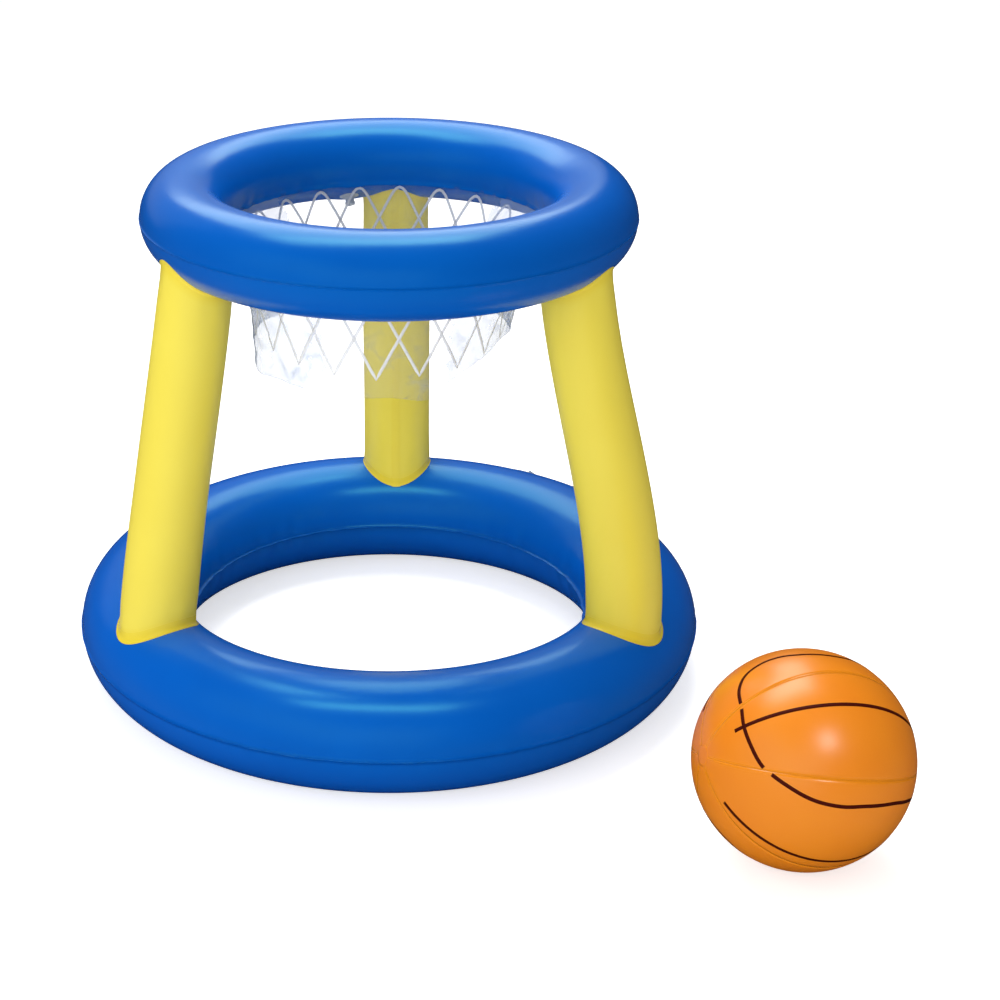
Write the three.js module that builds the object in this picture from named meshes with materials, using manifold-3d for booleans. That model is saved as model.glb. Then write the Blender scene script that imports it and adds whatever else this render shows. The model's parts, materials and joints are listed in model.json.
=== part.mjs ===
// Floating basketball hoop of welded vinyl film with its inflatable ball.
// Millimetres, +Z up. The origin is under the middle of the whole set, on the surface it stands on.

import * as THREE from "three";
import { mergeVertices } from "three/addons/utils/BufferGeometryUtils.js";
import Module from "manifold-3d";

const wasm = await Module();
wasm.setup();

// Film, welds and fits
const filmThickness = 0.3;
const seatGap = 0.3;
const weldWidth = 3;
const overrun = 20;

// Base ring, a tube bent into a circle that settles a little on its underside
const baseOuterRadius = 305;
const baseTubeRadius = 54;
const baseSettle = 1;

// Hoop ring, whose inner weld lies below the middle of its tube and carries the net
const hoopTopHeight = 499;
const hoopRingRadius = 190;
const hoopTubeRadius = 39;
const hoopNetWeldDrop = 24;

// Legs: each middle line starts inside the base ring and ends inside the hoop ring. Its bows are
// how far it is pulled out from the straight line between the two tubes, at even steps up it.
const legRadius = 33;
const legFootFlangeWidth = 4.5;
const legTopFlangeWidth = 2.5;
const legLapWidth = 8;
const legs = [
  { name: "leg_left", azimuth: 210, bows: [6, 14, 0, 2] },
  { name: "leg_right", azimuth: 330, bows: [-2, 42, -16, 2] },
  { name: "leg_rear", azimuth: 88, bows: [-3, 28, -8, 2] },
];

// Net: a cone of clear film whose hem is wider from front to back than across, with a printed
// lattice of two crossing zigzags that hangs lower in front
const netHemRadius = 132;
const netHemOval = 13;
const netHemHeight = 333;
const netWaveDepth = 1.6;
const netWaveCounts = [3, 7];
const netWaveShares = [0.65, 0.35];
const printPeaks = 24;
const printPeakOffset = 86;
const printLineWidth = 4;
const printLift = 0.75;
const printThickness = 0.2;
const printOverlay = 0.05;
const printTopDrop = 4;
const printBottomDrop = 74;
const printFrontDrop = 21;
const printPeakRound = 4.2;

// Ball
const ballRadius = 93;
const ballPlace = { x: 346, y: -364 };
const ballPoleRadius = 4;
const ballPatchRadius = 9;
const ballGores = 6;
const ballAxis = { azimuth: 195, rise: 11, spin: 49 };

// Valves: a collar welded to the film, a stem that pushes in, a plug on a strap and an inner flap
const valveCollarRadius = 9.5;
const valveCollarThickness = 0.6;
const valveNeckWall = 1;
const valveNeckHeight = 1.6;
const valveStemRadius = 4.3;
const valveBoreRadius = 3.3;
const valveStemReach = 7.5;
const valveStemDepth = 6;
const valveRimWidth = 0.7;
const valveRimHeight = 0.9;
const valveLipWidth = 1.2;
const valveLipHeight = 0.8;
const valveLipDrop = 1.5;
const valvePlugRadius = 4.8;
const valvePlugHeight = 1.4;
const valveSpigotRadius = 2.9;
const valveSpigotTipRadius = 2.3;
const valveSpigotLength = 3.2;
const valveStrapWidth = 3.2;
const valveStrapThickness = 0.9;
const valveStrapReach = 7.6;
const valveTabReach = 7.2;
const valveFlapRadius = 3.9;
const valveFlapThickness = 0.5;
const valveFlapHingeReach = 4.2;
const valveFlapTabWidth = 2.4;

// Where each valve sits: on a ring by azimuth and angle round its tube, on the ball by turn about
// the seam axis and angle from its near pole
const hoopValvePlace = { azimuth: 103.5, tubeAngle: 238, strapTurn: 90 };
const baseValvePlace = { azimuth: 58.5, tubeAngle: 34, strapTurn: 90 };
const ballValvePlace = { turn: 217.5, fromPole: 82.8, strapTurn: 0 };

// Fineness
const mergeDistance = 0.0001;
const ringSegments = 40;
const tubeSteps = 8;
const tubeFewestSteps = 2;
const tubeStepShare = 0.25;
const legSides = 16;
const legSteps = 7;
const legLapSteps = 1;
const netStations = 48;
const netRows = 3;
const ballStations = 24;
const ballSteps = 12;
const patchSides = 12;
const patchSteps = 2;
const valveSides = 12;

// Sizes that follow from the ones above
const baseRing = {
  radius: baseOuterRadius - weldWidth - baseTubeRadius,
  tube: baseTubeRadius,
  height: baseTubeRadius - baseSettle,
  floor: 0,
};
const hoopRing = {
  radius: hoopRingRadius,
  tube: hoopTubeRadius,
  height: hoopTopHeight - hoopTubeRadius,
  floor: -overrun,
};
const netTop = tubePoint(hoopRing, THREE.MathUtils.degToRad(180 + hoopNetWeldDrop), hoopTubeRadius);
const netRun = Math.atan2(netHemHeight - netTop.y, netHemRadius - netTop.x);

const finishes = {
  ringBlue: { color: 0x0459bb, roughness: 0.32, metalness: 0 },
  hoopBlue: { color: 0x0767c5, roughness: 0.32, metalness: 0 },
  legYellow: { color: 0xf0e24c, roughness: 0.34, metalness: 0 },
  clearFilm: { color: 0xeef3fa, roughness: 0.15, metalness: 0, transparent: true, opacity: 0.25 },
  whiteInk: { color: 0xffffff, roughness: 0.5, metalness: 0 },
  ballOrange: { color: 0xf0861c, roughness: 0.36, metalness: 0 },
  clearVinyl: { color: 0xdfe8ee, roughness: 0.2, metalness: 0, transparent: true, opacity: 0.6 },
};

// Solids

// Turns a three.js geometry into a closed solid, dropping collapsed faces and turning it face out.
function solid(geometry) {
  const bare = new THREE.BufferGeometry();
  bare.setAttribute("position", geometry.getAttribute("position"));
  bare.setIndex(geometry.index);
  const merged = mergeVertices(bare, mergeDistance);
  const corners = merged.index.array;
  const faces = [];
  for (let i = 0; i < corners.length; i += 3) {
    const [a, b, c] = [corners[i], corners[i + 1], corners[i + 2]];
    if (a !== b && b !== c && c !== a) faces.push(a, b, c);
  }
  const made = manifoldOf(merged, faces);
  return made.volume() < 0 ? manifoldOf(merged, faces.reverse()) : made;
}

function manifoldOf(geometry, faces) {
  return new wasm.Manifold(
    new wasm.Mesh({
      numProp: 3,
      vertProperties: Float32Array.from(geometry.getAttribute("position").array),
      triVerts: Uint32Array.from(faces),
    }),
  );
}

function geometryOf(body) {
  const mesh = body.getMesh();
  const geometry = new THREE.BufferGeometry();
  geometry.setAttribute("position", new THREE.BufferAttribute(mesh.vertProperties, 3));
  geometry.setIndex(new THREE.BufferAttribute(mesh.triVerts, 1));
  geometry.computeVertexNormals();
  return geometry;
}

function piece(name, body, finish) {
  const mesh = new THREE.Mesh(geometryOf(body), new THREE.MeshStandardMaterial(finish));
  mesh.name = name;
  return mesh;
}

// Revolves a closed outline of (distance from the axis, height) about Z.
function revolve(outline, segments) {
  const closed = [...outline, outline[0]];
  return solid(new THREE.LatheGeometry(closed, segments).rotateX(Math.PI / 2));
}

// Revolves an outline whose ends both lie on the axis.
function revolveSolid(outline, segments) {
  return solid(new THREE.LatheGeometry(outline, segments).rotateX(Math.PI / 2));
}

function point(x, y) {
  return new THREE.Vector2(x, y);
}

// Values for the whole numbers from zero to a count, both included.
function arrayOf(count, value) {
  return Array.from({ length: count + 1 }, (_, i) => value(i));
}

// Rings

function tubePoint(ring, angle, radius) {
  return point(ring.radius + radius * Math.cos(angle), ring.height + radius * Math.sin(angle));
}

// Steps for an arc of the tube. An arc takes one more only for a good share of a step, so that
// the two faces of a film, whose arcs differ by a hair, always have the same number.
function tubeStepsFor(angle) {
  const steps = Math.ceil((tubeSteps * angle) / Math.PI - tubeStepShare);
  return Math.max(tubeFewestSteps, steps);
}

// Points round the tube from one angle to another, pressed flat where they meet the floor.
function tubeArc(ring, radius, from, to, floor) {
  const points = [];
  const lying = (floor - ring.height) / radius;
  const rest = lying > -1 ? Math.acos(-lying) : 0;
  const stops = [from, to];
  const down = -Math.PI / 2;
  if (rest > 0 && Math.min(from, to) < down && Math.max(from, to) > down) {
    const towards = Math.sign(to - from);
    stops.splice(1, 0, down - towards * rest, down + towards * rest);
  }
  for (let part = 0; part < stops.length; part += 2) {
    const [start, end] = [stops[part], stops[part + 1]];
    const steps = tubeStepsFor(Math.abs(end - start));
    for (let i = 0; i <= steps; i += 1) {
      points.push(tubePoint(ring, start + ((end - start) * i) / steps, radius));
    }
  }
  return points;
}

// The angle on a circle round the tube at which the film leaves it for a weld, where the
// film's face lies at an offset from the middle plane of the weld.
function weldRootAngle(ring, weld, offset, radius) {
  const across = weld.run + Math.PI / 2;
  const side = Math.sin(weld.angle - across) >= 0 ? 1 : -1;
  const reach = (offset + ring.tube * Math.cos(weld.angle - across)) / radius;
  const angle = across + side * Math.acos(reach);
  return angle + 2 * Math.PI * Math.round((weld.angle - angle) / (2 * Math.PI));
}

function weldTip(ring, weld, offset) {
  const seam = tubePoint(ring, weld.angle, ring.tube);
  const run = point(Math.cos(weld.run), Math.sin(weld.run));
  const across = point(-run.y, run.x);
  return seam.addScaledVector(run, weldWidth).addScaledVector(across, offset);
}

// One film panel of a ring, from its first weld to its last, with a flat flange at each.
// The panel keeps to the given side of each weld's middle plane.
function filmPanel(ring, first, last, firstSide, lastSide) {
  const near = seatGap / 2;
  const far = near + filmThickness;
  const inner = ring.tube - filmThickness;
  const outside = tubeArc(
    ring,
    ring.tube,
    weldRootAngle(ring, first, firstSide * far, ring.tube),
    weldRootAngle(ring, last, lastSide * far, ring.tube),
    ring.floor,
  );
  const inside = tubeArc(
    ring,
    inner,
    weldRootAngle(ring, last, lastSide * near, inner),
    weldRootAngle(ring, first, firstSide * near, inner),
    ring.floor + filmThickness,
  );
  const outline = [
    weldTip(ring, first, firstSide * far),
    ...outside,
    weldTip(ring, last, lastSide * far),
    weldTip(ring, last, lastSide * near),
    ...inside,
    weldTip(ring, first, firstSide * near),
  ];
  return revolve(outline, ringSegments);
}

// The whole tube of a ring as one solid, grown by a margin, with the panels' own facets.
function tubeSolid(ring, welds, margin) {
  const grown = ring.tube + margin;
  const [low, seam, high] = welds;
  const upper = tubeArc(ring, grown, seam, high, ring.floor - margin);
  const lower = tubeArc(ring, grown, low, seam, ring.floor - margin);
  return revolve([...lower.slice(0, -1), ...upper.slice(0, -1)], ringSegments);
}

const baseOuterWeld = { angle: 0, run: 0 };
const baseInnerWeld = { angle: Math.PI, run: Math.PI };
const baseInnerWeldBelow = { angle: -Math.PI, run: -Math.PI };
const hoopOuterWeld = { angle: 0, run: 0 };
const hoopNetWeldAngle = THREE.MathUtils.degToRad(180 + hoopNetWeldDrop);
const hoopNetWeld = { angle: hoopNetWeldAngle, run: netRun + 2 * Math.PI };
const hoopNetWeldBelow = { angle: hoopNetWeldAngle - 2 * Math.PI, run: netRun };

const baseSeams = [-Math.PI, 0, Math.PI];
const hoopSeams = [hoopNetWeldAngle - 2 * Math.PI, 0, hoopNetWeldAngle];
const skinOf = {
  base: (margin) => tubeSolid(baseRing, baseSeams, margin),
  hoop: (margin) => tubeSolid(hoopRing, hoopSeams, margin),
};

// Legs

function legPath(leg) {
  const foot = new THREE.Vector3(baseRing.radius, 0, baseRing.height);
  const top = new THREE.Vector3(hoopRing.radius, 0, hoopRing.height);
  const places = leg.bows.map((bow, i) => {
    const place = foot.clone().lerp(top, i / (leg.bows.length - 1));
    return place.setX(place.x + bow);
  });
  return new THREE.CubicBezierCurve3(...places);
}

function sweepUpLeg(shape, leg) {
  const options = { steps: legSteps, extrudePath: legPath(leg) };
  const azimuth = THREE.MathUtils.degToRad(leg.azimuth);
  return solid(new THREE.ExtrudeGeometry(shape, options).rotateZ(azimuth));
}

function arcPoints(radius, from, to, steps) {
  const points = [];
  for (let i = 0; i <= steps; i += 1) {
    const angle = from + ((to - from) * i) / steps;
    points.push(point(radius * Math.cos(angle), radius * Math.sin(angle)));
  }
  return points;
}

// A rolled sheet's face seen from its end, open where its edges lap, on the side facing the axis.
function rolledFace(radius) {
  const half = legLapWidth / 2 / legRadius;
  const lapMiddle = -Math.PI / 2;
  return arcPoints(radius, lapMiddle + half, lapMiddle - half + 2 * Math.PI, legSides);
}

function lap(radius) {
  const half = legLapWidth / 2 / legRadius;
  return arcPoints(radius, -Math.PI / 2 - half, -Math.PI / 2 + half, legLapSteps);
}

const legBore = () => new THREE.Shape(rolledFace(legRadius - filmThickness));
const legSheet = () => new THREE.Shape([...rolledFace(legRadius), ...lap(legRadius + filmThickness)]);

// The flange that spreads over a ring round the end of a leg.
function legFlange(leg, skin, width) {
  const spread = skin(seatGap + filmThickness).subtract(skin(seatGap));
  return spread.intersect(sweepUpLeg(new THREE.Shape(rolledFace(legRadius + width)), leg));
}

function legBody(leg) {
  const bore = sweepUpLeg(legBore(), leg);
  const tube = sweepUpLeg(legSheet(), leg)
    .subtract(skinOf.base(seatGap))
    .subtract(skinOf.hoop(seatGap));
  return tube
    .add(legFlange(leg, skinOf.base, legFootFlangeWidth))
    .add(legFlange(leg, skinOf.hoop, legTopFlangeWidth))
    .subtract(bore);
}

// The round port in the base ring's film under a leg, through which they share their air.
function legPort(leg) {
  return sweepUpLeg(legBore(), leg);
}

// Net

// A place on the net film: angle about the axis, drop down the cone, and distance outward from it.
function netPlace(angle, drop, outward) {
  const length = Math.hypot(netHemRadius - netTop.x, netHemHeight - netTop.y);
  const down = point(Math.cos(netRun), Math.sin(netRun));
  const out = point(-down.y, down.x);
  const [first, second] = netWaveCounts;
  const [firstShare, secondShare] = netWaveShares;
  const wave = firstShare * Math.sin(first * angle) + secondShare * Math.cos(second * angle);
  const past = Math.max(drop - weldWidth, 0) / (length - weldWidth);
  const oval = netHemOval * Math.cos(2 * angle) * past;
  const lift = outward + (netWaveDepth * wave * drop) / length - oval;
  const spot = point(netTop.x, netTop.y).addScaledVector(down, drop).addScaledVector(out, lift);
  return new THREE.Vector3(spot.x * Math.cos(angle), spot.x * Math.sin(angle), spot.y);
}

// Closes a loop of sections with alike corners into a band. The way back up a section is split along
// the same diagonals as the way down, so a twisted film keeps its thickness.
function band(sections) {
  const positions = sections.flatMap((section) => section.flatMap((corner) => corner.toArray()));
  const faces = [];
  const sides = sections[0].length;
  sections.forEach((_, i) => {
    const here = i * sides;
    const next = ((i + 1) % sections.length) * sides;
    for (let k = 0; k < sides; k += 1) {
      const turn = (k + 1) % sides;
      const [low, high] = k < sides / 2 ? [here + k, next + turn] : [next + k, here + turn];
      faces.push(here + k, next + k, high, low, next + turn, here + turn);
    }
  });
  const geometry = new THREE.BufferGeometry();
  geometry.setAttribute("position", new THREE.Float32BufferAttribute(positions, 3));
  geometry.setIndex(faces);
  return solid(geometry);
}

// The section of a layer of the net: down one face and up the other.
function netLayer(angle, drops, near, far) {
  const down = drops.map((drop) => netPlace(angle, drop, near));
  const up = drops.map((drop) => netPlace(angle, drop, far)).reverse();
  return [...down, ...up];
}

// How far the net film lies in from the middle plane of its weld: past the upper panel's flange,
// and past the middle of that flange's facets, which stand in from their corners.
const weldFacetDepth = netTop.x * (1 - Math.cos(Math.PI / ringSegments));
const netFilmInset = filmThickness + 1.5 * seatGap + weldFacetDepth;

const netStart = THREE.MathUtils.degToRad(printPeakOffset);

function netFilm() {
  const length = Math.hypot(netHemRadius - netTop.x, netHemHeight - netTop.y);
  const free = arrayOf(netRows, (i) => weldWidth + ((length - weldWidth) * i) / netRows);
  const drops = [0, ...free];
  const sections = [];
  for (let i = 0; i < netStations; i += 1) {
    const angle = netStart + (2 * Math.PI * i) / netStations;
    sections.push(netLayer(angle, drops, -netFilmInset - filmThickness, -netFilmInset));
  }
  return band(sections);
}

// How far down a zigzag line lies at a share of the way from one peak to the next valley.
function zigzagDrop(share, roundShare) {
  const half = roundShare / 2;
  const fall = share < roundShare ? (share * share) / (4 * half) : share - half;
  return printTopDrop + ((printBottomDrop - printTopDrop) * fall) / (1 - half);
}

function frontDrop(angle) {
  return (printFrontDrop * (1 - Math.sin(angle))) / 2;
}

// One printed zigzag, whose peaks stand two pitches apart, between two distances from the film.
function zigzag(shift, near, far) {
  const pitch = (2 * Math.PI) / printPeaks;
  const station = (2 * Math.PI) / netStations;
  const peakRound = THREE.MathUtils.degToRad(printPeakRound);
  const stops = [0, peakRound, station, pitch];
  const slope = (printBottomDrop - printTopDrop) / (pitch * (netTop.x + netHemRadius) / 2);
  const half = (printLineWidth / 2) * Math.hypot(1, slope);
  const sections = [];
  const addAt = (angle, away) => {
    const drop = zigzagDrop(away / pitch, peakRound / pitch);
    const top = Math.max(drop - half, printTopDrop);
    const drops = [top, drop + half].map((edge) => edge + frontDrop(angle));
    sections.push(netLayer(angle, drops, near - netFilmInset, far - netFilmInset));
  };
  const first = netStart + shift * pitch;
  for (let peak = 0; peak < printPeaks / 2; peak += 1) {
    const middle = first + 2 * peak * pitch;
    stops.slice(0, -1).forEach((away) => addAt(middle + away, away));
    stops.slice(1).reverse().forEach((away) => addAt(middle + 2 * pitch - away, away));
  }
  return band(sections);
}

function netPrint() {
  const near = printLift + printOverlay;
  const far = printLift + printThickness;
  return zigzag(0, printLift, far).add(zigzag(1, near, far + printOverlay));
}

// Ball

function ballArc(radius, from, to) {
  const points = [];
  for (let i = 0; i <= ballSteps; i += 1) {
    const angle = from + ((to - from) * i) / ballSteps;
    points.push(point(radius * Math.sin(angle), radius * Math.cos(angle)));
  }
  return points;
}

// The ball's film with a small opening at each pole.
function ballShell() {
  const inner = ballRadius - filmThickness;
  const outerPole = Math.asin(ballPoleRadius / ballRadius);
  const innerPole = Math.asin(ballPoleRadius / inner);
  return revolve(
    [
      ...ballArc(ballRadius, outerPole, Math.PI - outerPole),
      ...ballArc(inner, Math.PI - innerPole, innerPole),
    ],
    ballStations,
  );
}

// A wedge between two seams, held back from each by half a gap.
function goreWedge(index) {
  const half = Math.PI / ballGores;
  const reach = 2 * ballRadius;
  const tip = seatGap / 2 / Math.sin(half);
  const shape = new THREE.Shape();
  shape.moveTo(tip, 0);
  shape.lineTo(tip + reach * Math.cos(half), -reach * Math.sin(half));
  shape.lineTo(tip + reach * Math.cos(half), reach * Math.sin(half));
  const options = { depth: 2 * reach, bevelEnabled: false };
  const wedge = new THREE.ExtrudeGeometry(shape, options).translate(0, 0, -reach);
  return solid(wedge.rotateZ(2 * half * (index + 1 / 2)));
}

// The round patch that is welded over the seams' meeting point, on the outside.
function polePatch(end) {
  const near = ballRadius + seatGap;
  const far = near + filmThickness;
  const rim = Math.asin(ballPatchRadius / ballRadius);
  const dome = (radius, turn) => point(radius * Math.sin(turn), radius * Math.cos(turn));
  const outside = arrayOf(patchSteps, (i) => dome(far, (rim * i) / patchSteps));
  const inside = arrayOf(patchSteps, (i) => dome(near, rim - (rim * i) / patchSteps));
  const patch = revolveSolid([...outside, ...inside], patchSides);
  return patch.rotate([end === "far" ? 180 : 0, 0, 0]);
}

// How the ball lies: turned about its seam axis, tipped over and set in its place.
function ballFrame() {
  const { degToRad } = THREE.MathUtils;
  const frame = new THREE.Matrix4().makeTranslation(ballPlace.x, ballPlace.y, ballRadius);
  frame.multiply(new THREE.Matrix4().makeRotationZ(degToRad(ballAxis.azimuth)));
  frame.multiply(new THREE.Matrix4().makeRotationY(degToRad(90 - ballAxis.rise)));
  return frame.multiply(new THREE.Matrix4().makeRotationZ(degToRad(ballAxis.spin)));
}

function lieBall(body) {
  return body.transform(ballFrame().elements);
}

// Valves

// A flat-sided bar along X, as wide as a strap.
function bar(fromX, toX, bottom, top, width) {
  const box = new THREE.BoxGeometry(toX - fromX, width, top - bottom);
  return solid(box.translate((fromX + toX) / 2, 0, (bottom + top) / 2));
}

function ringOutline(innerRadius, outerRadius, bottom, top) {
  return [
    point(innerRadius, bottom),
    point(outerRadius, bottom),
    point(outerRadius, top),
    point(innerRadius, top),
  ];
}

function valveHole() {
  const radius = valveStemRadius + seatGap;
  const outline = [
    point(0, -overrun),
    point(radius, -overrun),
    point(radius, overrun),
    point(0, overrun),
  ];
  return revolveSolid(outline, valveSides);
}

function valveStem() {
  const rimBottom = valveStemReach - valveRimHeight;
  const lipTop = -valveLipDrop;
  const outline = [
    point(valveBoreRadius, -valveStemDepth),
    point(valveStemRadius, -valveStemDepth),
    point(valveStemRadius, lipTop - valveLipHeight),
    point(valveStemRadius + valveLipWidth, lipTop - valveLipHeight),
    point(valveStemRadius + valveLipWidth, lipTop),
    point(valveStemRadius, lipTop),
    point(valveStemRadius, rimBottom),
    point(valveStemRadius + valveRimWidth, rimBottom),
    point(valveStemRadius + valveRimWidth, valveStemReach),
    point(valveBoreRadius, valveStemReach),
  ];
  const strapTop = valveStemReach;
  const root = bar(
    -valveStrapReach,
    -valveStemRadius,
    strapTop - valveStrapThickness,
    strapTop,
    valveStrapWidth,
  );
  return revolve(outline, valveSides).add(root);
}

function valvePlug() {
  const seat = valveStemReach + seatGap;
  const outline = [
    point(0, seat - valveSpigotLength),
    point(valveSpigotTipRadius, seat - valveSpigotLength),
    point(valveSpigotRadius, seat),
    point(valvePlugRadius, seat),
    point(valvePlugRadius, seat + valvePlugHeight),
    point(0, seat + valvePlugHeight),
  ];
  const strap = bar(
    -valveStrapReach,
    -valvePlugRadius / 2,
    seat,
    seat + valveStrapThickness,
    valveStrapWidth,
  );
  const tab = bar(
    valvePlugRadius / 2,
    valveTabReach,
    seat,
    seat + valveStrapThickness,
    valveStrapWidth,
  );
  return revolveSolid(outline, valveSides).add(strap).add(tab);
}

function valveFlap() {
  const top = -valveStemDepth - seatGap;
  const outline = [
    point(0, top - valveFlapThickness),
    point(valveFlapRadius, top - valveFlapThickness),
    point(valveFlapRadius, top),
    point(0, top),
  ];
  const tab = bar(
    -valveFlapHingeReach,
    -valveFlapRadius / 2,
    top - valveFlapThickness,
    top,
    valveFlapTabWidth,
  );
  return revolveSolid(outline, valveSides).add(tab);
}

// The frame of a valve: origin on the film, Z out of it, and X away from the strap.
function valveFrame(origin, outward, turn) {
  const frame = new THREE.Matrix4();
  const level = new THREE.Vector3(0, 0, 1).cross(outward).normalize();
  const climb = outward.clone().cross(level);
  frame.makeBasis(level, climb, outward);
  frame.multiply(new THREE.Matrix4().makeRotationZ(THREE.MathUtils.degToRad(turn)));
  return frame.setPosition(origin);
}

// Seats a valve on the facet of the film that lies outward of a middle point.
function seatValve(film, middle, outward, turn) {
  const start = middle.clone().addScaledVector(outward, 2 * ballRadius);
  const caster = new THREE.Raycaster(start, outward.clone().negate());
  const [hit] = caster.intersectObject(new THREE.Mesh(geometryOf(film)));
  return valveFrame(hit.point, hit.face.normal, turn);
}

function ringValveFrame(film, ring, place) {
  const azimuth = THREE.MathUtils.degToRad(place.azimuth);
  const angle = THREE.MathUtils.degToRad(place.tubeAngle);
  const along = new THREE.Vector3(Math.cos(azimuth), Math.sin(azimuth), 0);
  const middle = along.clone().multiplyScalar(ring.radius).setZ(ring.height);
  const outward = along.multiplyScalar(Math.cos(angle)).setZ(Math.sin(angle));
  return seatValve(film, middle, outward, place.strapTurn);
}

function ballValveFrame(place) {
  const turn = THREE.MathUtils.degToRad(place.turn);
  const fromPole = THREE.MathUtils.degToRad(place.fromPole);
  const outward = new THREE.Vector3(
    Math.sin(fromPole) * Math.cos(turn),
    Math.sin(fromPole) * Math.sin(turn),
    Math.cos(fromPole),
  ).transformDirection(ballFrame());
  const middle = new THREE.Vector3(ballPlace.x, ballPlace.y, ballRadius);
  return seatValve(ballSkin(0), middle, outward, place.strapTurn);
}

function placed(body, frame) {
  return body.transform(frame.elements);
}

// The collar follows the film it is welded to, and its neck stands round the stem.
function valveCollar(frame, skin) {
  const radius = valveStemRadius + seatGap;
  const reach = placed(revolve(ringOutline(radius, valveCollarRadius, -overrun, overrun), valveSides), frame);
  const sheet = skin(seatGap + valveCollarThickness).subtract(skin(seatGap)).intersect(reach);
  const neckOutline = ringOutline(radius, radius + valveNeckWall, 0, valveNeckHeight);
  const neck = placed(revolve(neckOutline, valveSides), frame).subtract(skin(seatGap));
  return sheet.add(neck);
}

function addValve(group, name, frame, skin) {
  const clear = finishes.clearVinyl;
  group.add(piece(`${name}_collar`, valveCollar(frame, skin), clear));
  group.add(piece(`${name}_stem`, placed(valveStem(), frame), clear));
  group.add(piece(`${name}_plug`, placed(valvePlug(), frame), clear));
  group.add(piece(`${name}_flap`, placed(valveFlap(), frame), clear));
}

// Assembly

const baseTop = legs.reduce(
  (film, leg) => film.subtract(legPort(leg)),
  filmPanel(baseRing, baseOuterWeld, baseInnerWeld, 1, -1),
);
const baseBottom = filmPanel(baseRing, baseOuterWeld, baseInnerWeldBelow, -1, 1);
const hoopTop = filmPanel(hoopRing, hoopOuterWeld, hoopNetWeld, 1, -1);
const hoopBottom = filmPanel(hoopRing, hoopOuterWeld, hoopNetWeldBelow, -1, 1);
const baseValve = ringValveFrame(baseTop, baseRing, baseValvePlace);
const hoopValve = ringValveFrame(hoopBottom, hoopRing, hoopValvePlace);
const ballValve = ballValveFrame(ballValvePlace);

function addRings(group) {
  const baseCut = baseTop.subtract(placed(valveHole(), baseValve));
  const hoopCut = hoopBottom.subtract(placed(valveHole(), hoopValve));
  group.add(piece("base_ring_top_panel", baseCut, finishes.ringBlue));
  group.add(piece("base_ring_bottom_panel", baseBottom, finishes.ringBlue));
  group.add(piece("hoop_ring_top_panel", hoopTop, finishes.hoopBlue));
  group.add(piece("hoop_ring_bottom_panel", hoopCut, finishes.hoopBlue));
}

function addBall(group, frame) {
  const shell = ballShell();
  for (let i = 0; i < ballGores; i += 1) {
    const gore = lieBall(shell.intersect(goreWedge(i)));
    const cut = gore.subtract(placed(valveHole(), frame));
    group.add(piece(`ball_gore_${i + 1}`, cut, finishes.ballOrange));
  }
  group.add(piece("ball_pole_patch_near", lieBall(polePatch("near")), finishes.ballOrange));
  group.add(piece("ball_pole_patch_far", lieBall(polePatch("far")), finishes.ballOrange));
}

function ballSkin(margin) {
  const grown = ballRadius + margin;
  return lieBall(revolveSolid(ballArc(grown, 0, Math.PI), ballStations));
}

const set = new THREE.Group();
addRings(set);
legs.forEach((leg) => set.add(piece(leg.name, legBody(leg), finishes.legYellow)));
set.add(piece("net_film", netFilm(), finishes.clearFilm));
set.add(piece("net_print", netPrint(), finishes.whiteInk));
addBall(set, ballValve);
addValve(set, "hoop_valve", hoopValve, skinOf.hoop);
addValve(set, "base_valve", baseValve, skinOf.base);
addValve(set, "ball_valve", ballValve, ballSkin);
const middle = new THREE.Box3().setFromObject(set).getCenter(new THREE.Vector3());
set.position.set(-middle.x, -middle.y, 0);

export default set;
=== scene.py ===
"""Dresses the floating basketball hoop: welded film rings, legs, net skirt, ball and valves.

Every length is in metres in the row frame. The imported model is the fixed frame, and each
piece here stands for the nodes that it replaces and rides on their body.
"""

import json
import logging
import math
from collections.abc import Callable, Iterable, Sequence
from dataclasses import dataclass, field
from enum import Enum

import bmesh
import bpy
from mathutils import Matrix, Vector

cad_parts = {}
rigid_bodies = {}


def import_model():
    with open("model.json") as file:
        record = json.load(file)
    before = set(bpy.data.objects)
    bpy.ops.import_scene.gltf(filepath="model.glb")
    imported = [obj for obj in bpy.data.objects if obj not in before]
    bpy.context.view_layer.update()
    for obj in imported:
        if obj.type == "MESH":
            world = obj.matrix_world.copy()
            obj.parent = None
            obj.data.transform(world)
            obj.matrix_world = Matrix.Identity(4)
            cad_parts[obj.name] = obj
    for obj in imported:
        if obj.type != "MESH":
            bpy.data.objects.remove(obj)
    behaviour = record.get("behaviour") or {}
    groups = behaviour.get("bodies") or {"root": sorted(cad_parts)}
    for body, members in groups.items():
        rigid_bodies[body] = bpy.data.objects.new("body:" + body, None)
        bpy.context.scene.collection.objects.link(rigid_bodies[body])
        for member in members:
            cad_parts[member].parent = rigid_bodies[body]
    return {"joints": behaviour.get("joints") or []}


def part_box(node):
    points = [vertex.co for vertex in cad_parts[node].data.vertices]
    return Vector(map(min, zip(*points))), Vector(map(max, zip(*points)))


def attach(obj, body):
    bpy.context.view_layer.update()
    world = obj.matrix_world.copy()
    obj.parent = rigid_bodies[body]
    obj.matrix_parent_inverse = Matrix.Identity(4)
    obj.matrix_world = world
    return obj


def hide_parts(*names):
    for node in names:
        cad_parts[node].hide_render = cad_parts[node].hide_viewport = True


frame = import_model()

log = logging.getLogger("hoop")
MM = 0.001
FULL_TURN = 2 * math.pi

# Corners that are closer than this are merged
MERGE = 1e-7

# How far each kind of wave in a ripple is shifted from the one before, as a share of the phase
PHASE_STEP = 0.7

Point = tuple[float, float]


# Colour and nodes


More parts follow.
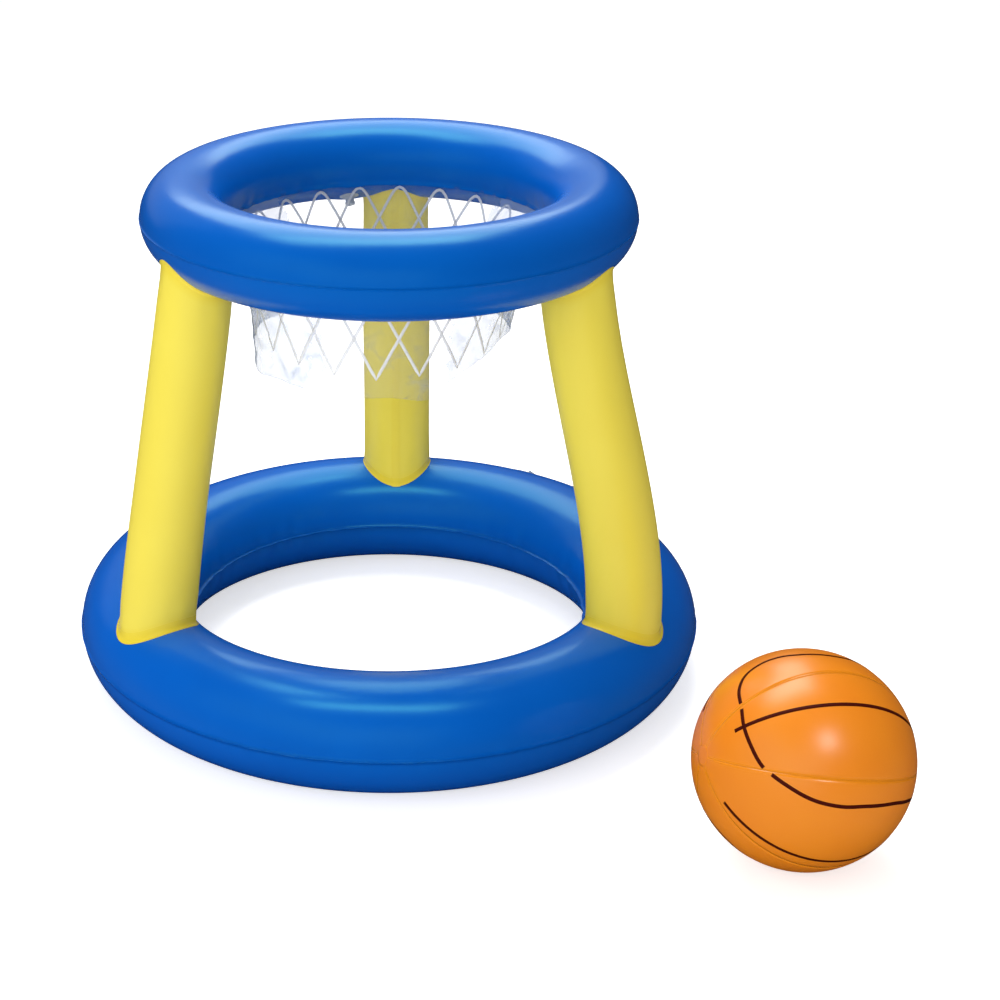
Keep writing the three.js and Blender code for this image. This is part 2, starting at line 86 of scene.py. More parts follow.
def linear(code: str) -> tuple[float, float, float, float]:
    """Turns an sRGB hex colour into linear light.

    Args:
        code: Six hex digits, such as "0459BB".

    Returns:
        Red, green, blue and full opacity.
    """
    shares = [int(code[i : i + 2], 16) / 255 for i in (0, 2, 4)]
    red, green, blue = (
        share / 12.92 if share <= 0.04045 else ((share + 0.055) / 1.055) ** 2.4 for share in shares
    )
    return (red, green, blue, 1.0)


def add_node(
    tree: bpy.types.NodeTree, kind: str, inputs: dict | None = None, **properties: object
) -> bpy.types.Node:
    """Adds a node with its properties, and sets or links its inputs.

    Args:
        tree: The node tree to add to.
        kind: The node's Blender type.
        inputs: Input name or index to a plain value, or to the socket to link from.
        properties: The node's own properties.

    Returns:
        The new node.
    """
    made = tree.nodes.new(kind)
    for name, value in properties.items():
        setattr(made, name, value)
    for key, value in (inputs or {}).items():
        named = (item for item in made.inputs if item.name == key and item.enabled)
        socket = made.inputs[key] if isinstance(key, int) else next(named)
        if isinstance(value, bpy.types.NodeSocket):
            tree.links.new(value, socket)
        else:
            socket.default_value = value
    return made


def result(node: bpy.types.Node) -> bpy.types.NodeSocket:
    """Gives a node's first output that is in use."""
    return next(socket for socket in node.outputs if socket.enabled)


def pattern_scale(size: float) -> float:
    """Gives the Noise scale at which one blot of the pattern is a size in metres across."""
    return 1 / size


# Finishes


@dataclass(frozen=True)
class Finish:
    """A finish whose material is drawn on its first use and then shared."""

    name: str
    colour: str

    def material(self) -> bpy.types.Material:
        """Gives the finish's material.

        Returns:
            The one material of this finish's name, drawn now if it isn't there yet.
        """
        made = bpy.data.materials.get(self.name)
        if made is None:
            made = bpy.data.materials.new(self.name)
            made.use_nodes = True
            made.node_tree.nodes.clear()
            shader = self.shader(made.node_tree)
            add_node(made.node_tree, "ShaderNodeOutputMaterial", {"Surface": result(shader)})
        return made

    def shader(self, tree: bpy.types.NodeTree) -> bpy.types.Node:
        """Draws the finish's own nodes in a tree and gives the last one."""
        raise NotImplementedError


@dataclass(frozen=True)
class VinylFilm(Finish):
    """Calendered and welded PVC film: a smooth satin face that mirrors soft lamps in broad streaks.

    The real grain, about 0.2 mm, is too fine to show in the render and is drawn at 1.6 mm.
    """

    shade: str
    weld_colour: str
    roughness: float = 0.26
    weld_roughness: float = 0.22
    ior: float = 1.53
    specular: float = 0.5
    mirror_tint: str = "FFFFFF"
    cloud_size: float = 70 * MM
    cloud_detail: float = 2.0
    grain_size: float = 1.6 * MM
    grain_detail: float = 2.0
    grain_depth: float = 0.02 * MM
    ripple_size: float = 26 * MM
    ripple_detail: float = 1.0
    ripple_depth: float = 0.16 * MM

    def shader(self, tree: bpy.types.NodeTree) -> bpy.types.Node:
        """Draws the film, with a band from the weld attribute.

        Args:
            tree: The material's nodes.

        Returns:
            The shader.
        """
        place = add_node(tree, "ShaderNodeTexCoord").outputs["Object"]
        cloud = add_node(
            tree,
            "ShaderNodeTexNoise",
            {
                "Vector": place,
                "Scale": pattern_scale(self.cloud_size),
                "Detail": self.cloud_detail,
            },
        )
        tone = add_node(
            tree,
            "ShaderNodeMix",
            {"Factor": result(cloud), "A": linear(self.colour), "B": linear(self.shade)},
            data_type="RGBA",
        )
        weld = add_node(tree, "ShaderNodeAttribute", attribute_name="weld")
        colour = add_node(
            tree,
            "ShaderNodeMix",
            {
                "Factor": weld.outputs["Fac"],
                "A": result(tone),
                "B": linear(self.weld_colour),
            },
            data_type="RGBA",
        )
        gloss = add_node(
            tree,
            "ShaderNodeMapRange",
            {
                "Value": weld.outputs["Fac"],
                "To Min": self.roughness,
                "To Max": self.weld_roughness,
            },
        )
        ripple = add_node(
            tree,
            "ShaderNodeTexNoise",
            {
                "Vector": place,
                "Scale": pattern_scale(self.ripple_size),
                "Detail": self.ripple_detail,
            },
        )
        soft = add_node(
            tree,
            "ShaderNodeBump",
            {"Height": result(ripple), "Distance": self.ripple_depth},
        )
        grain = add_node(
            tree,
            "ShaderNodeTexNoise",
            {
                "Vector": place,
                "Scale": pattern_scale(self.grain_size),
                "Detail": self.grain_detail,
            },
        )
        fine = add_node(
            tree,
            "ShaderNodeBump",
            {
                "Height": result(grain),
                "Distance": self.grain_depth,
                "Normal": result(soft),
            },
        )
        return add_node(
            tree,
            "ShaderNodeBsdfPrincipled",
            {
                "Base Color": result(colour),
                "Roughness": result(gloss),
                "IOR": self.ior,
                "Specular IOR Level": self.specular,
                "Specular Tint": linear(self.mirror_tint),
                "Normal": result(fine),
            },
        )


@dataclass(frozen=True)
class ClearFilm(Finish):
    """Clear PVC sheet: almost nothing but a faint milky veil and sharp small glints on its creases,
    partly its own gloss and partly a painted sheen that shows more of its pale colour edge-on.
    """

    body: float
    streak: float = 0.12
    # rim: how much more of the pale colour shows edge-on, a painted sheen in place of the film's
    # reflection
    rim: float = 0.5
    roughness: float = 0.12
    ior: float = 1.53
    crease_size: float = 16 * MM
    crease_depth: float = 0.5 * MM
    crease_detail: float = 3.0
    crease_warp: float = 0.6
    streak_starts: float = 0.5
    streak_full: float = 0.75
    calm_share: float = 0.25

    def shader(self, tree: bpy.types.NodeTree) -> bpy.types.Node:
        """Draws the clear sheet: see-through straight on, milkier in streaks along its creases, and
        with a painted sheen at its rims and creases, where more of its pale colour shows edge-on.

        Args:
            tree: The material's nodes.

        Returns:
            The shader.
        """
        place = add_node(tree, "ShaderNodeTexCoord").outputs["Object"]
        crease = add_node(
            tree,
            "ShaderNodeTexNoise",
            {
                "Vector": place,
                "Scale": pattern_scale(self.crease_size),
                "Detail": self.crease_detail,
                "Distortion": self.crease_warp,
            },
        )
        bump = add_node(
            tree,
            "ShaderNodeBump",
            {"Height": result(crease), "Distance": self.crease_depth},
        )
        streak = add_node(
            tree,
            "ShaderNodeMapRange",
            {
                "Value": result(crease),
                "From Min": self.streak_starts,
                "From Max": self.streak_full,
                "To Max": self.streak,
            },
        )
        crumple = add_node(tree, "ShaderNodeAttribute", attribute_name="weld")
        hung = add_node(
            tree,
            "ShaderNodeMapRange",
            {"Value": crumple.outputs["Fac"], "To Min": self.calm_share},
        )
        veil = add_node(
            tree,
            "ShaderNodeMath",
            {0: result(streak), 1: result(hung), 2: self.body},
            operation="MULTIPLY_ADD",
        )
        # Painted sheen: edge-on, at the rims and on the bumped creases, more of the film's pale lit
        # colour shows in place of its reflection
        facing = add_node(tree, "ShaderNodeFresnel", {"IOR": self.ior, "Normal": result(bump)})
        veil_and_sheen = add_node(
            tree,
            "ShaderNodeMath",
            {0: result(facing), 1: self.rim, 2: result(veil)},
            operation="MULTIPLY_ADD",
        )
        return add_node(
            tree,
            "ShaderNodeBsdfPrincipled",
            {
                "Base Color": linear(self.colour),
                "Roughness": self.roughness,
                "IOR": self.ior,
                "Alpha": result(veil_and_sheen),
                "Normal": result(bump),
            },
        )


@dataclass(frozen=True)
class PrintedInk(Finish):
    """Screen-printed vinyl ink: flat, and duller than the film under it."""

    worn: str
    roughness: float = 0.5
    specular: float = 0.25
    cover: float = 1.0
    fleck_size: float = 3 * MM
    fleck_detail: float = 2.0

    def shader(self, tree: bpy.types.NodeTree) -> bpy.types.Node:
        """Draws the ink, printed unevenly in small flecks.

        Args:
            tree: The material's nodes.

        Returns:
            The shader.
        """
        place = add_node(tree, "ShaderNodeTexCoord").outputs["Object"]
        fleck = add_node(
            tree,
            "ShaderNodeTexNoise",
            {
                "Vector": place,
                "Scale": pattern_scale(self.fleck_size),
                "Detail": self.fleck_detail,
            },
        )
        tone = add_node(
            tree,
            "ShaderNodeMix",
            {"Factor": result(fleck), "A": linear(self.colour), "B": linear(self.worn)},
            data_type="RGBA",
        )
        return add_node(
            tree,
            "ShaderNodeBsdfPrincipled",
            {
                "Base Color": result(tone),
                "Roughness": self.roughness,
                "Specular IOR Level": self.specular,
                "Alpha": self.cover,
            },
        )


# Welded film in ring blue: deep and even, with a cool mirror of the lamps along each tube
RING_VINYL = VinylFilm(
    "calendered_vinyl_ring_blue", "0055B5", "004EAB", "004CA6", mirror_tint="78FFE0"
)

# The hoop ring's blue is set a little lighter than the base ring's, with the same cool mirror
HOOP_VINYL = VinylFilm(
    "calendered_vinyl_hoop_blue", "005ABA", "0053B2", "0059B8", mirror_tint="78FFE0"
)

# Yellow film reads almost matt: its highlights are broad and faint, and its welds and a band up from
# each foot take a deeper yellow
LEG_VINYL = VinylFilm("calendered_vinyl_leg_yellow", "F1E052", "ECD848", "EAD23A", roughness=0.36)

# The ball's film is tight and even, and shows one soft bright spot
BALL_VINYL = VinylFilm(
    "calendered_vinyl_ball_orange", "E0850C", "DA7608", "DE820C", roughness=0.32, specular=0.6
)

# Thin clear sheet: only its creases, its rims with their painted sheen and a pale veil over what is
# behind it are seen
NET_FILM = ClearFilm("calendered_clear_film", "9CB0D4", body=0.05, streak=0.2, rim=0.42)

# Moulded soft vinyl is thicker: frosty, half see-through, with no creases to speak of and the same
# painted sheen at its rims
VALVE_VINYL = ClearFilm("moulded_clear_vinyl", "E4ECF2", body=0.5, crease_depth=0.02 * MM)

# A thin coat of white ink, a little see-through and duller than the film that it is on
NET_INK = PrintedInk("screen_printed_white_ink", "FAFBFC", "EDEFF3", cover=0.7)

# A full coat of dark brown ink, almost without gloss, so that its lines stay dark in the light
BALL_INK = PrintedInk("screen_printed_brown_ink", "480D04", "380A03", specular=0.06)


# Meshes


class Wall(Enum):
    """Which way a film takes its thickness from the face that is drawn."""

    INWARD = -1.0
    OUTWARD = 1.0
    BOTH = 0.0


class Joining(Enum):
    """What is done with the tools that a piece is baked with."""

    CUT = "DIFFERENCE"
    ADD = "UNION"


def finish_piece(
    bm: bmesh.types.BMesh, name: str, material: bpy.types.Material, smooth: bool = True
) -> bpy.types.Object:
    """Turns a bmesh into a piece at the origin with its material.

    Args:
        bm: The mesh, which is freed.
        name: The piece's name.
        material: Its finish.
        smooth: Whether its faces shade smoothly.

    Returns:
        The new object.
    """
    for face in bm.faces:
        face.smooth = smooth
    mesh = bpy.data.meshes.new(name)
    bm.to_mesh(mesh)
    bm.free()
    mesh.materials.append(material)
    made = bpy.data.objects.new(name, mesh)
    bpy.context.scene.collection.objects.link(made)
    return made


def thicken(piece: bpy.types.Object, thickness: float, wall: Wall) -> None:
    """Gives a film its thickness.

    Args:
        piece: The piece, drawn as one face of the film.
        thickness: The film's thickness.
        wall: Which way the thickness goes.
    """
    solidify = piece.modifiers.new("film", "SOLIDIFY")
    solidify.thickness = thickness
    solidify.offset = wall.value
    solidify.use_even_offset = True


def loft(
    rings: Sequence[Sequence[Vector]], welded: Sequence[Sequence[float]]
) -> bmesh.types.BMesh:
    """Extrudes a closed circle through rings of places, all with the same number of corners.

    Args:
        rings: The places of the corners of each ring, in order.
        welded: How much of a weld each corner lies in, ring by ring.

    Returns:
        An open tube.
    """
    bm = bmesh.new()
    weld = corner_layer(bm)
    corners = list(bmesh.ops.create_circle(bm, segments=len(rings[0]), radius=1.0)["verts"])
    edges = list(bm.edges)
    for index, ring in enumerate(rings):
        if index:
            grown = bmesh.ops.extrude_edge_only(bm, edges=edges)["geom"]
            fresh = {item for item in grown if isinstance(item, bmesh.types.BMVert)}
            drawn = [item for item in grown if isinstance(item, bmesh.types.BMEdge)]
            edges = [edge for edge in drawn if fresh >= set(edge.verts)]
            sides = [[edge.other_vert(corner) for edge in corner.link_edges] for corner in corners]
            corners = [next(vert for vert in side if vert in fresh) for side in sides]
        for k, corner in enumerate(corners):
            corner.co = ring[k]
            corner[weld] = welded[index][k]
    return bm


def smooth_step(share: float) -> float:
    """Eases a share from 0 to 1 and holds it there outside."""
    held = min(max(share, 0.0), 1.0)
    return held * held * (3 - 2 * held)


def waves(angle: float, counts: Sequence[int], phase: float) -> float:
    """Sums round waves of several counts into one uneven ripple between about -1 and 1.

    Args:
        angle: The place round the circle.
        counts: How many waves of each kind go round.
        phase: Shifts the ripple, so that no two seams look alike.

    Returns:
        The ripple's height as a share.
    """
    total = 0.0
    for k, count in enumerate(counts):
        total += math.sin(count * angle + phase * (1 + PHASE_STEP * k))
    return total / math.sqrt(len(counts))


def corner_layer(bm: bmesh.types.BMesh) -> bmesh.types.BMLayerItem:
    """Gives the layer that says how much of a weld a corner of the film lies in."""
    return bm.verts.layers.float.get("weld") or bm.verts.layers.float.new("weld")


def face_out(bm: bmesh.types.BMesh, outward: Callable[[Vector], Vector]) -> None:
    """Turns a film so that its faces point the way that a function says.

    Args:
        bm: The film.
        outward: Gives the outward direction at a place.
    """
    bmesh.ops.recalc_face_normals(bm, faces=list(bm.faces))
    facing = sum(face.normal.dot(outward(face.calc_center_median())) for face in bm.faces)
    if facing < 0:
        bmesh.ops.reverse_faces(bm, faces=list(bm.faces))


def add_mesh(bm: bmesh.types.BMesh, other: bmesh.types.BMesh) -> None:
    """Adds one mesh to another.

    Args:
        bm: The mesh to add to.
        other: The mesh that is added, and freed.
    """
    mesh = bpy.data.meshes.new("added")
    other.to_mesh(mesh)
    other.free()
    bm.from_mesh(mesh)
    bpy.data.meshes.remove(mesh)


def strip(sides: Sequence[tuple[Vector, Vector]], closed: bool) -> bmesh.types.BMesh:
    """Extrudes an edge along pairs of places.

    Args:
        sides: The two ends of the edge at each step.
        closed: Whether the strip joins its own start.

    Returns:
        The strip.
    """
    bm = bmesh.new()
    left, right = (bm.verts.new(spot) for spot in sides[0])
    edge = bm.edges.new((left, right))
    for near, far in sides[1:] + (sides[:1] if closed else []):
        grown = bmesh.ops.extrude_edge_only(bm, edges=[edge])["geom"]
        fresh = [item for item in grown if isinstance(item, bmesh.types.BMVert)]
        if any(side.other_vert(left) is fresh[0] for side in left.link_edges):
            left, right = fresh
        else:
            right, left = fresh
        left.co, right.co = near, far
        edge = next(side for side in left.link_edges if side.other_vert(left) is right)
    bmesh.ops.remove_doubles(bm, verts=list(bm.verts), dist=MERGE)
    return bm


def chain(bm: bmesh.types.BMesh, spots: Sequence[Vector], closed: bool = False) -> list:
    """Draws a line of edges through places.

    Args:
        bm: The mesh to draw in.
        spots: The places, in order.
        closed: Whether the last joins the first.

    Returns:
        The corners and edges that were drawn.
    """
    verts = [bm.verts.new(spot) for spot in spots]
    pairs = list(zip(verts, verts[1:] + verts[:1] if closed else verts[1:]))
    return [*verts, *(bm.edges.new(pair) for pair in pairs)]


def revolved(outline: Sequence[Point], steps: int, rounding: float = 0.0) -> bmesh.types.BMesh:
    """Spins a closed outline of (distance from the axis, height) about Z.

    Args:
        outline: The outline's corners, which may touch the axis.
        steps: How many steps make the full turn.
        rounding: How far the corners off the axis are rounded.

    Returns:
        A closed solid with its faces out.
    """
    bm = bmesh.new()
    on_axis = [reach <= MERGE for reach, _ in outline]
    drawn = chain(bm, [Vector((reach, 0, height)) for reach, height in outline], closed=True)
    if rounding > 0:
        corners = [vert for vert, axial in zip(drawn, on_axis) if not axial]
        bmesh.ops.bevel(
            bm,
            geom=corners,
            offset=rounding,
            affect="VERTICES",
            segments=2,
            profile=0.5,
            material=-1,
        )
    bmesh.ops.spin(
        bm,
        geom=[*bm.verts, *bm.edges],
        cent=(0, 0, 0),
        axis=(0, 0, 1),
        angle=FULL_TURN,
        steps=steps,
        use_merge=True,
    )
    bmesh.ops.remove_doubles(bm, verts=list(bm.verts), dist=MERGE)
    bmesh.ops.dissolve_degenerate(bm, edges=list(bm.edges), dist=MERGE)
    bmesh.ops.recalc_face_normals(bm, faces=list(bm.faces))
    return bm


def block(low: Vector, high: Vector, rounding: float) -> bmesh.types.BMesh:
    """Makes a soft-edged bar between two corners.

    Args:
        low: The corner with the lowest coordinates.
        high: The corner with the highest.
        rounding: How far the edges are rounded.

    Returns:
        The bar.
    """
    bm = bmesh.new()
    bmesh.ops.create_cube(bm, size=1.0)
    bmesh.ops.scale(bm, vec=high - low, verts=list(bm.verts))
    bmesh.ops.translate(bm, vec=(low + high) / 2, verts=list(bm.verts))
    bmesh.ops.bevel(
        bm,
        geom=list(bm.edges),
        offset=rounding,
        affect="EDGES",
        segments=2,
        profile=0.5,
        material=-1,
    )
    return bm


def baked(
    target: bpy.types.Object,
    tools: Iterable[bpy.types.Object] = (),
    joining: Joining = Joining.ADD,
) -> bpy.types.Object:
    """Applies a piece's modifiers, cuts tools from it or adds them, and keeps that as its mesh.

    Args:
        target: The piece.
        tools: Pieces that are used up.
        joining: Whether the tools are cut from the piece or added to it.

    Returns:
        The piece.
    """
    spent = list(tools)
    for tool in spent:
        boolean = target.modifiers.new("joined", "BOOLEAN")
        boolean.operation = joining.value
        boolean.solver = "EXACT"
        boolean.object = tool
    bpy.context.view_layer.update()
    graph = bpy.context.evaluated_depsgraph_get()
    mesh = bpy.data.meshes.new_from_object(target.evaluated_get(graph))
    old = target.data
    target.modifiers.clear()
    target.data = mesh
    mesh.name = target.name
    bpy.data.meshes.remove(old)
    for tool in spent:
        spare = tool.data
        bpy.data.objects.remove(tool)
        bpy.data.meshes.remove(spare)
    return target


def stand_for(
    piece: bpy.types.Object, body: str, nodes: Sequence[str]
) -> bpy.types.Object:
    """Makes a piece ride on a body and replace nodes.

    Args:
        piece: The piece.
        body: The body that it rides on.
        nodes: The nodes that it stands for.

    Returns:
        The piece.
    """
    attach(piece, body)
    if nodes:
        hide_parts(*nodes)
    log.info("%s on %s, %d faces, for %s", piece.name, body, len(piece.data.polygons), list(nodes))
    return piece


# Rings


@dataclass(frozen=True)
class Weld:
    """A weld of a ring.

    It has its angle round the tube, the angle at which its flange runs, half the gap between its
    two films, and its flange's width.
    """

    angle: float
    run: float
    gap: float = 0.05 * MM
    width: float = 3 * MM


@dataclass(frozen=True)
class FlatSpot:
    """A place where a valve's collar holds the film flat."""

    origin: Vector
    outward: Vector
    flat_reach: float = 11 * MM
    blend_reach: float = 28 * MM

    def settle(self, place: Vector) -> Vector:
        """Moves a place on the film to the collar's plane, the more the nearer it is.

        Args:
            place: The place.

        Returns:
            Where it settles.
        """
        away = place - self.origin
        height = away.dot(self.outward)
        reach = (away - self.outward * height).length
        if reach > self.blend_reach or abs(height) > self.flat_reach:
            return place
        share = (self.blend_reach - reach) / (self.blend_reach - self.flat_reach)
        return place - self.outward * height * smooth_step(share)


class Panel(Enum):
    """The film panels of a ring, by the side of its welds that each is on."""

    TOP = 1
    BOTTOM = -1


@dataclass
class InflatedRing:
    """A tube of two film panels, welded along an outer and an inner circle and blown up.

    Where it has a floor, it lies flat on it.
    """

    name: str
    finish: VinylFilm
    slot: str
    centre: Vector
    radius: float
    tube: float
    height: float
    outer: Weld
    inner: Weld
    leg_azimuths: tuple[float, ...]
    floor: float = -math.inf
    inner_pucker: float = 0.55 * MM
    outer_pucker: float = 0.22 * MM
    inner_pucker_reach: float = 34 * MM
    outer_pucker_reach: float = 13 * MM
    inner_counts: tuple[int, ...] = (31, 47, 61)
    outer_counts: tuple[int, ...] = (41, 67, 89)
    pucker_sink: float = 0.6
    phase: float = 0.4
    film: float = 0.3 * MM
    weld_width: float = 3 * MM
    flange_wave: float = 0.15 * MM
    leg_clear_degrees: float = 13.0
    round_steps: int = 480
    arc_steps: int = 46
    welded_corners: int = 3
    flat_spots: list[FlatSpot] = field(default_factory=list)

    def tube_place(self, angle: float) -> Vector:
        """Gives (distance from the axis, height) at an angle round the tube."""
        across, up = self.tube * math.cos(angle), self.tube * math.sin(angle)
        return Vector((self.radius + across, self.height + up))

    def distance(self, place: Vector) -> float:
        """Gives how far a place is outside the tube's round surface."""
        across = math.hypot(place.x - self.centre.x, place.y - self.centre.y) - self.radius
        return math.hypot(across, place.z - self.height) - self.tube

    def outward(self, place: Vector) -> Vector:
        """Gives the direction out of the tube at a place.

        Args:
            place: The place.

        Returns:
            The unit direction.
        """
        flat = Vector((place.x - self.centre.x, place.y - self.centre.y, 0))
        middle = flat.normalized() * self.radius
        middle.z = self.height
        return (place - self.centre - middle).normalized()

    def weld_root(self, weld: Weld, offset: float) -> float:
        """Gives the angle at which the film leaves the tube for a weld.

        Args:
            weld: The weld.
            offset: How far the film's face lies from the weld's middle plane.

        Returns:
            The angle, near the weld's own.
        """
        across = weld.run + math.pi / 2
        side = 1 if math.sin(weld.angle - across) >= 0 else -1
        reach = (offset + self.tube * math.cos(weld.angle - across)) / self.tube
        angle = across + side * math.acos(reach)
        return angle + FULL_TURN * round((weld.angle - angle) / FULL_TURN)

    def weld_edge(self, weld: Weld, offset: float, along: float) -> Vector:
        """Gives a place on a weld's flange.

        Args:
            weld: The weld.
            offset: How far the film's face lies from the weld's middle plane.
            along: How far out along the flange the place is.

        Returns:
            The place, as (distance from the axis, height).
        """
        run = Vector((math.cos(weld.run), math.sin(weld.run)))
        across = Vector((-run.y, run.x))
        return self.tube_place(weld.angle) + run * along + across * offset

    def panel_line(self, first: Weld, last: Weld, panel: Panel) -> list[Vector]:
        """Draws a panel's section from one flange's edge round the tube to the other's.

        Args:
            first: The outer weld.
            last: The inner weld, at the angle by which this panel comes to it.
            panel: Which panel it is.

        Returns:
            Places as (distance from the axis, height).
        """
        near, far = panel.value * (first.gap + self.film), -panel.value * (last.gap + self.film)
        start, end = self.weld_root(first, near), self.weld_root(last, far)
        line = [
            self.weld_edge(first, near, first.width),
            self.weld_edge(first, near, first.width / 2),
        ]
        for i in range(self.arc_steps + 1):
            place = self.tube_place(start + (end - start) * i / self.arc_steps)
            line.append(Vector((place.x, max(place.y, self.floor))))
        line.append(self.weld_edge(last, far, last.width / 2))
        line.append(self.weld_edge(last, far, last.width))
        return line

    def hold(self, azimuth: float) -> float:
        """Gives the share of puckering left at an azimuth: the film is taut beside the legs."""
        turns = [abs((math.degrees(azimuth) - leg + 180) % 360 - 180) for leg in self.leg_azimuths]
        return smooth_step((min(turns) - self.leg_clear_degrees) / self.leg_clear_degrees)

    def pucker(self, azimuth: float, angle: float) -> float:
        """Gives how far the film gathers outward at a place on the tube.

        Args:
            azimuth: The place round the ring.
            angle: The angle round the tube.

        Returns:
            A distance along the tube's outward direction.
        """
        inner_gap = abs((angle - self.inner.angle + math.pi) % FULL_TURN - math.pi) * self.tube
        outer_gap = abs((angle - self.outer.angle + math.pi) % FULL_TURN - math.pi) * self.tube
        inner = smooth_step(1 - inner_gap / self.inner_pucker_reach) * self.inner_pucker
        outer = smooth_step(1 - outer_gap / self.outer_pucker_reach) * self.outer_pucker
        ripple = inner * (waves(azimuth, self.inner_counts, self.phase) - self.pucker_sink)
        ripple += outer * waves(azimuth, self.outer_counts, self.phase + 1)
        return ripple * self.hold(azimuth)

    def gather(self, bm: bmesh.types.BMesh) -> None:
        """Puckers a panel along its welds, waves its flanges and flattens it under valves.

        Args:
            bm: The panel, spun about the ring's middle.
        """
        weld = corner_layer(bm)
        for vert in bm.verts:
            away = vert.co - self.centre
            azimuth = math.atan2(away.y, away.x)
            reach = math.hypot(away.x, away.y) - self.radius
            angle = math.atan2(away.z - self.height, reach)
            beyond = math.hypot(reach, away.z - self.height) - self.tube
            radial = Vector((math.cos(azimuth), math.sin(azimuth), 0))
            out = radial * math.cos(angle) + Vector((0, 0, math.sin(angle)))
            vert.co += out * self.pucker(azimuth, angle)
            if beyond > self.film / 2 and vert[weld] > 0:
                wave = self.flange_wave * waves(azimuth, self.outer_counts, self.phase + 2)
                vert.co.z += wave * beyond / self.weld_width * self.hold(azimuth)
            for spot in self.flat_spots:
                vert.co = spot.settle(vert.co)

    def panel(self, panel: Panel) -> bpy.types.Object:
        """Builds one film panel.

        Args:
            panel: Which panel it is.

        Returns:
            The panel, with its film's thickness.
        """
        last = self.inner
        if panel is Panel.BOTTOM:
            last = Weld(last.angle - FULL_TURN, last.run, last.gap, last.width)
        bm = bmesh.new()
        weld = corner_layer(bm)
        line = self.panel_line(self.outer, last, panel)
        drawn = chain(bm, [self.centre + Vector((spot.x, 0, spot.y)) for spot in line])
        corners = [item for item in drawn if isinstance(item, bmesh.types.BMVert)]
        for vert in (*corners[: self.welded_corners], *corners[-self.welded_corners :]):
            vert[weld] = 1.0
        bmesh.ops.spin(
            bm,
            geom=[*bm.verts, *bm.edges],
            cent=self.centre,
            axis=(0, 0, 1),
            angle=FULL_TURN,
            steps=self.round_steps,
            use_merge=True,
        )
        face_out(bm, self.outward)
        self.gather(bm)
        name = f"{self.name}_{panel.name.lower()}_panel_film"
        piece = finish_piece(bm, name, self.finish.material())
        thicken(piece, self.film, Wall.INWARD)
        return piece

    def build(self, holes: dict[Panel, list[bpy.types.Object]]) -> None:
        """Builds both panels in place of their nodes.

        Args:
            holes: The cutters for each panel that has a valve.
        """
        for panel in Panel:
            piece = baked(self.panel(panel), holes.get(panel, []), Joining.CUT)
            node = f"{self.name}_{panel.name.lower()}_panel"
            stand_for(piece, "hoop_frame", [node])


# Legs


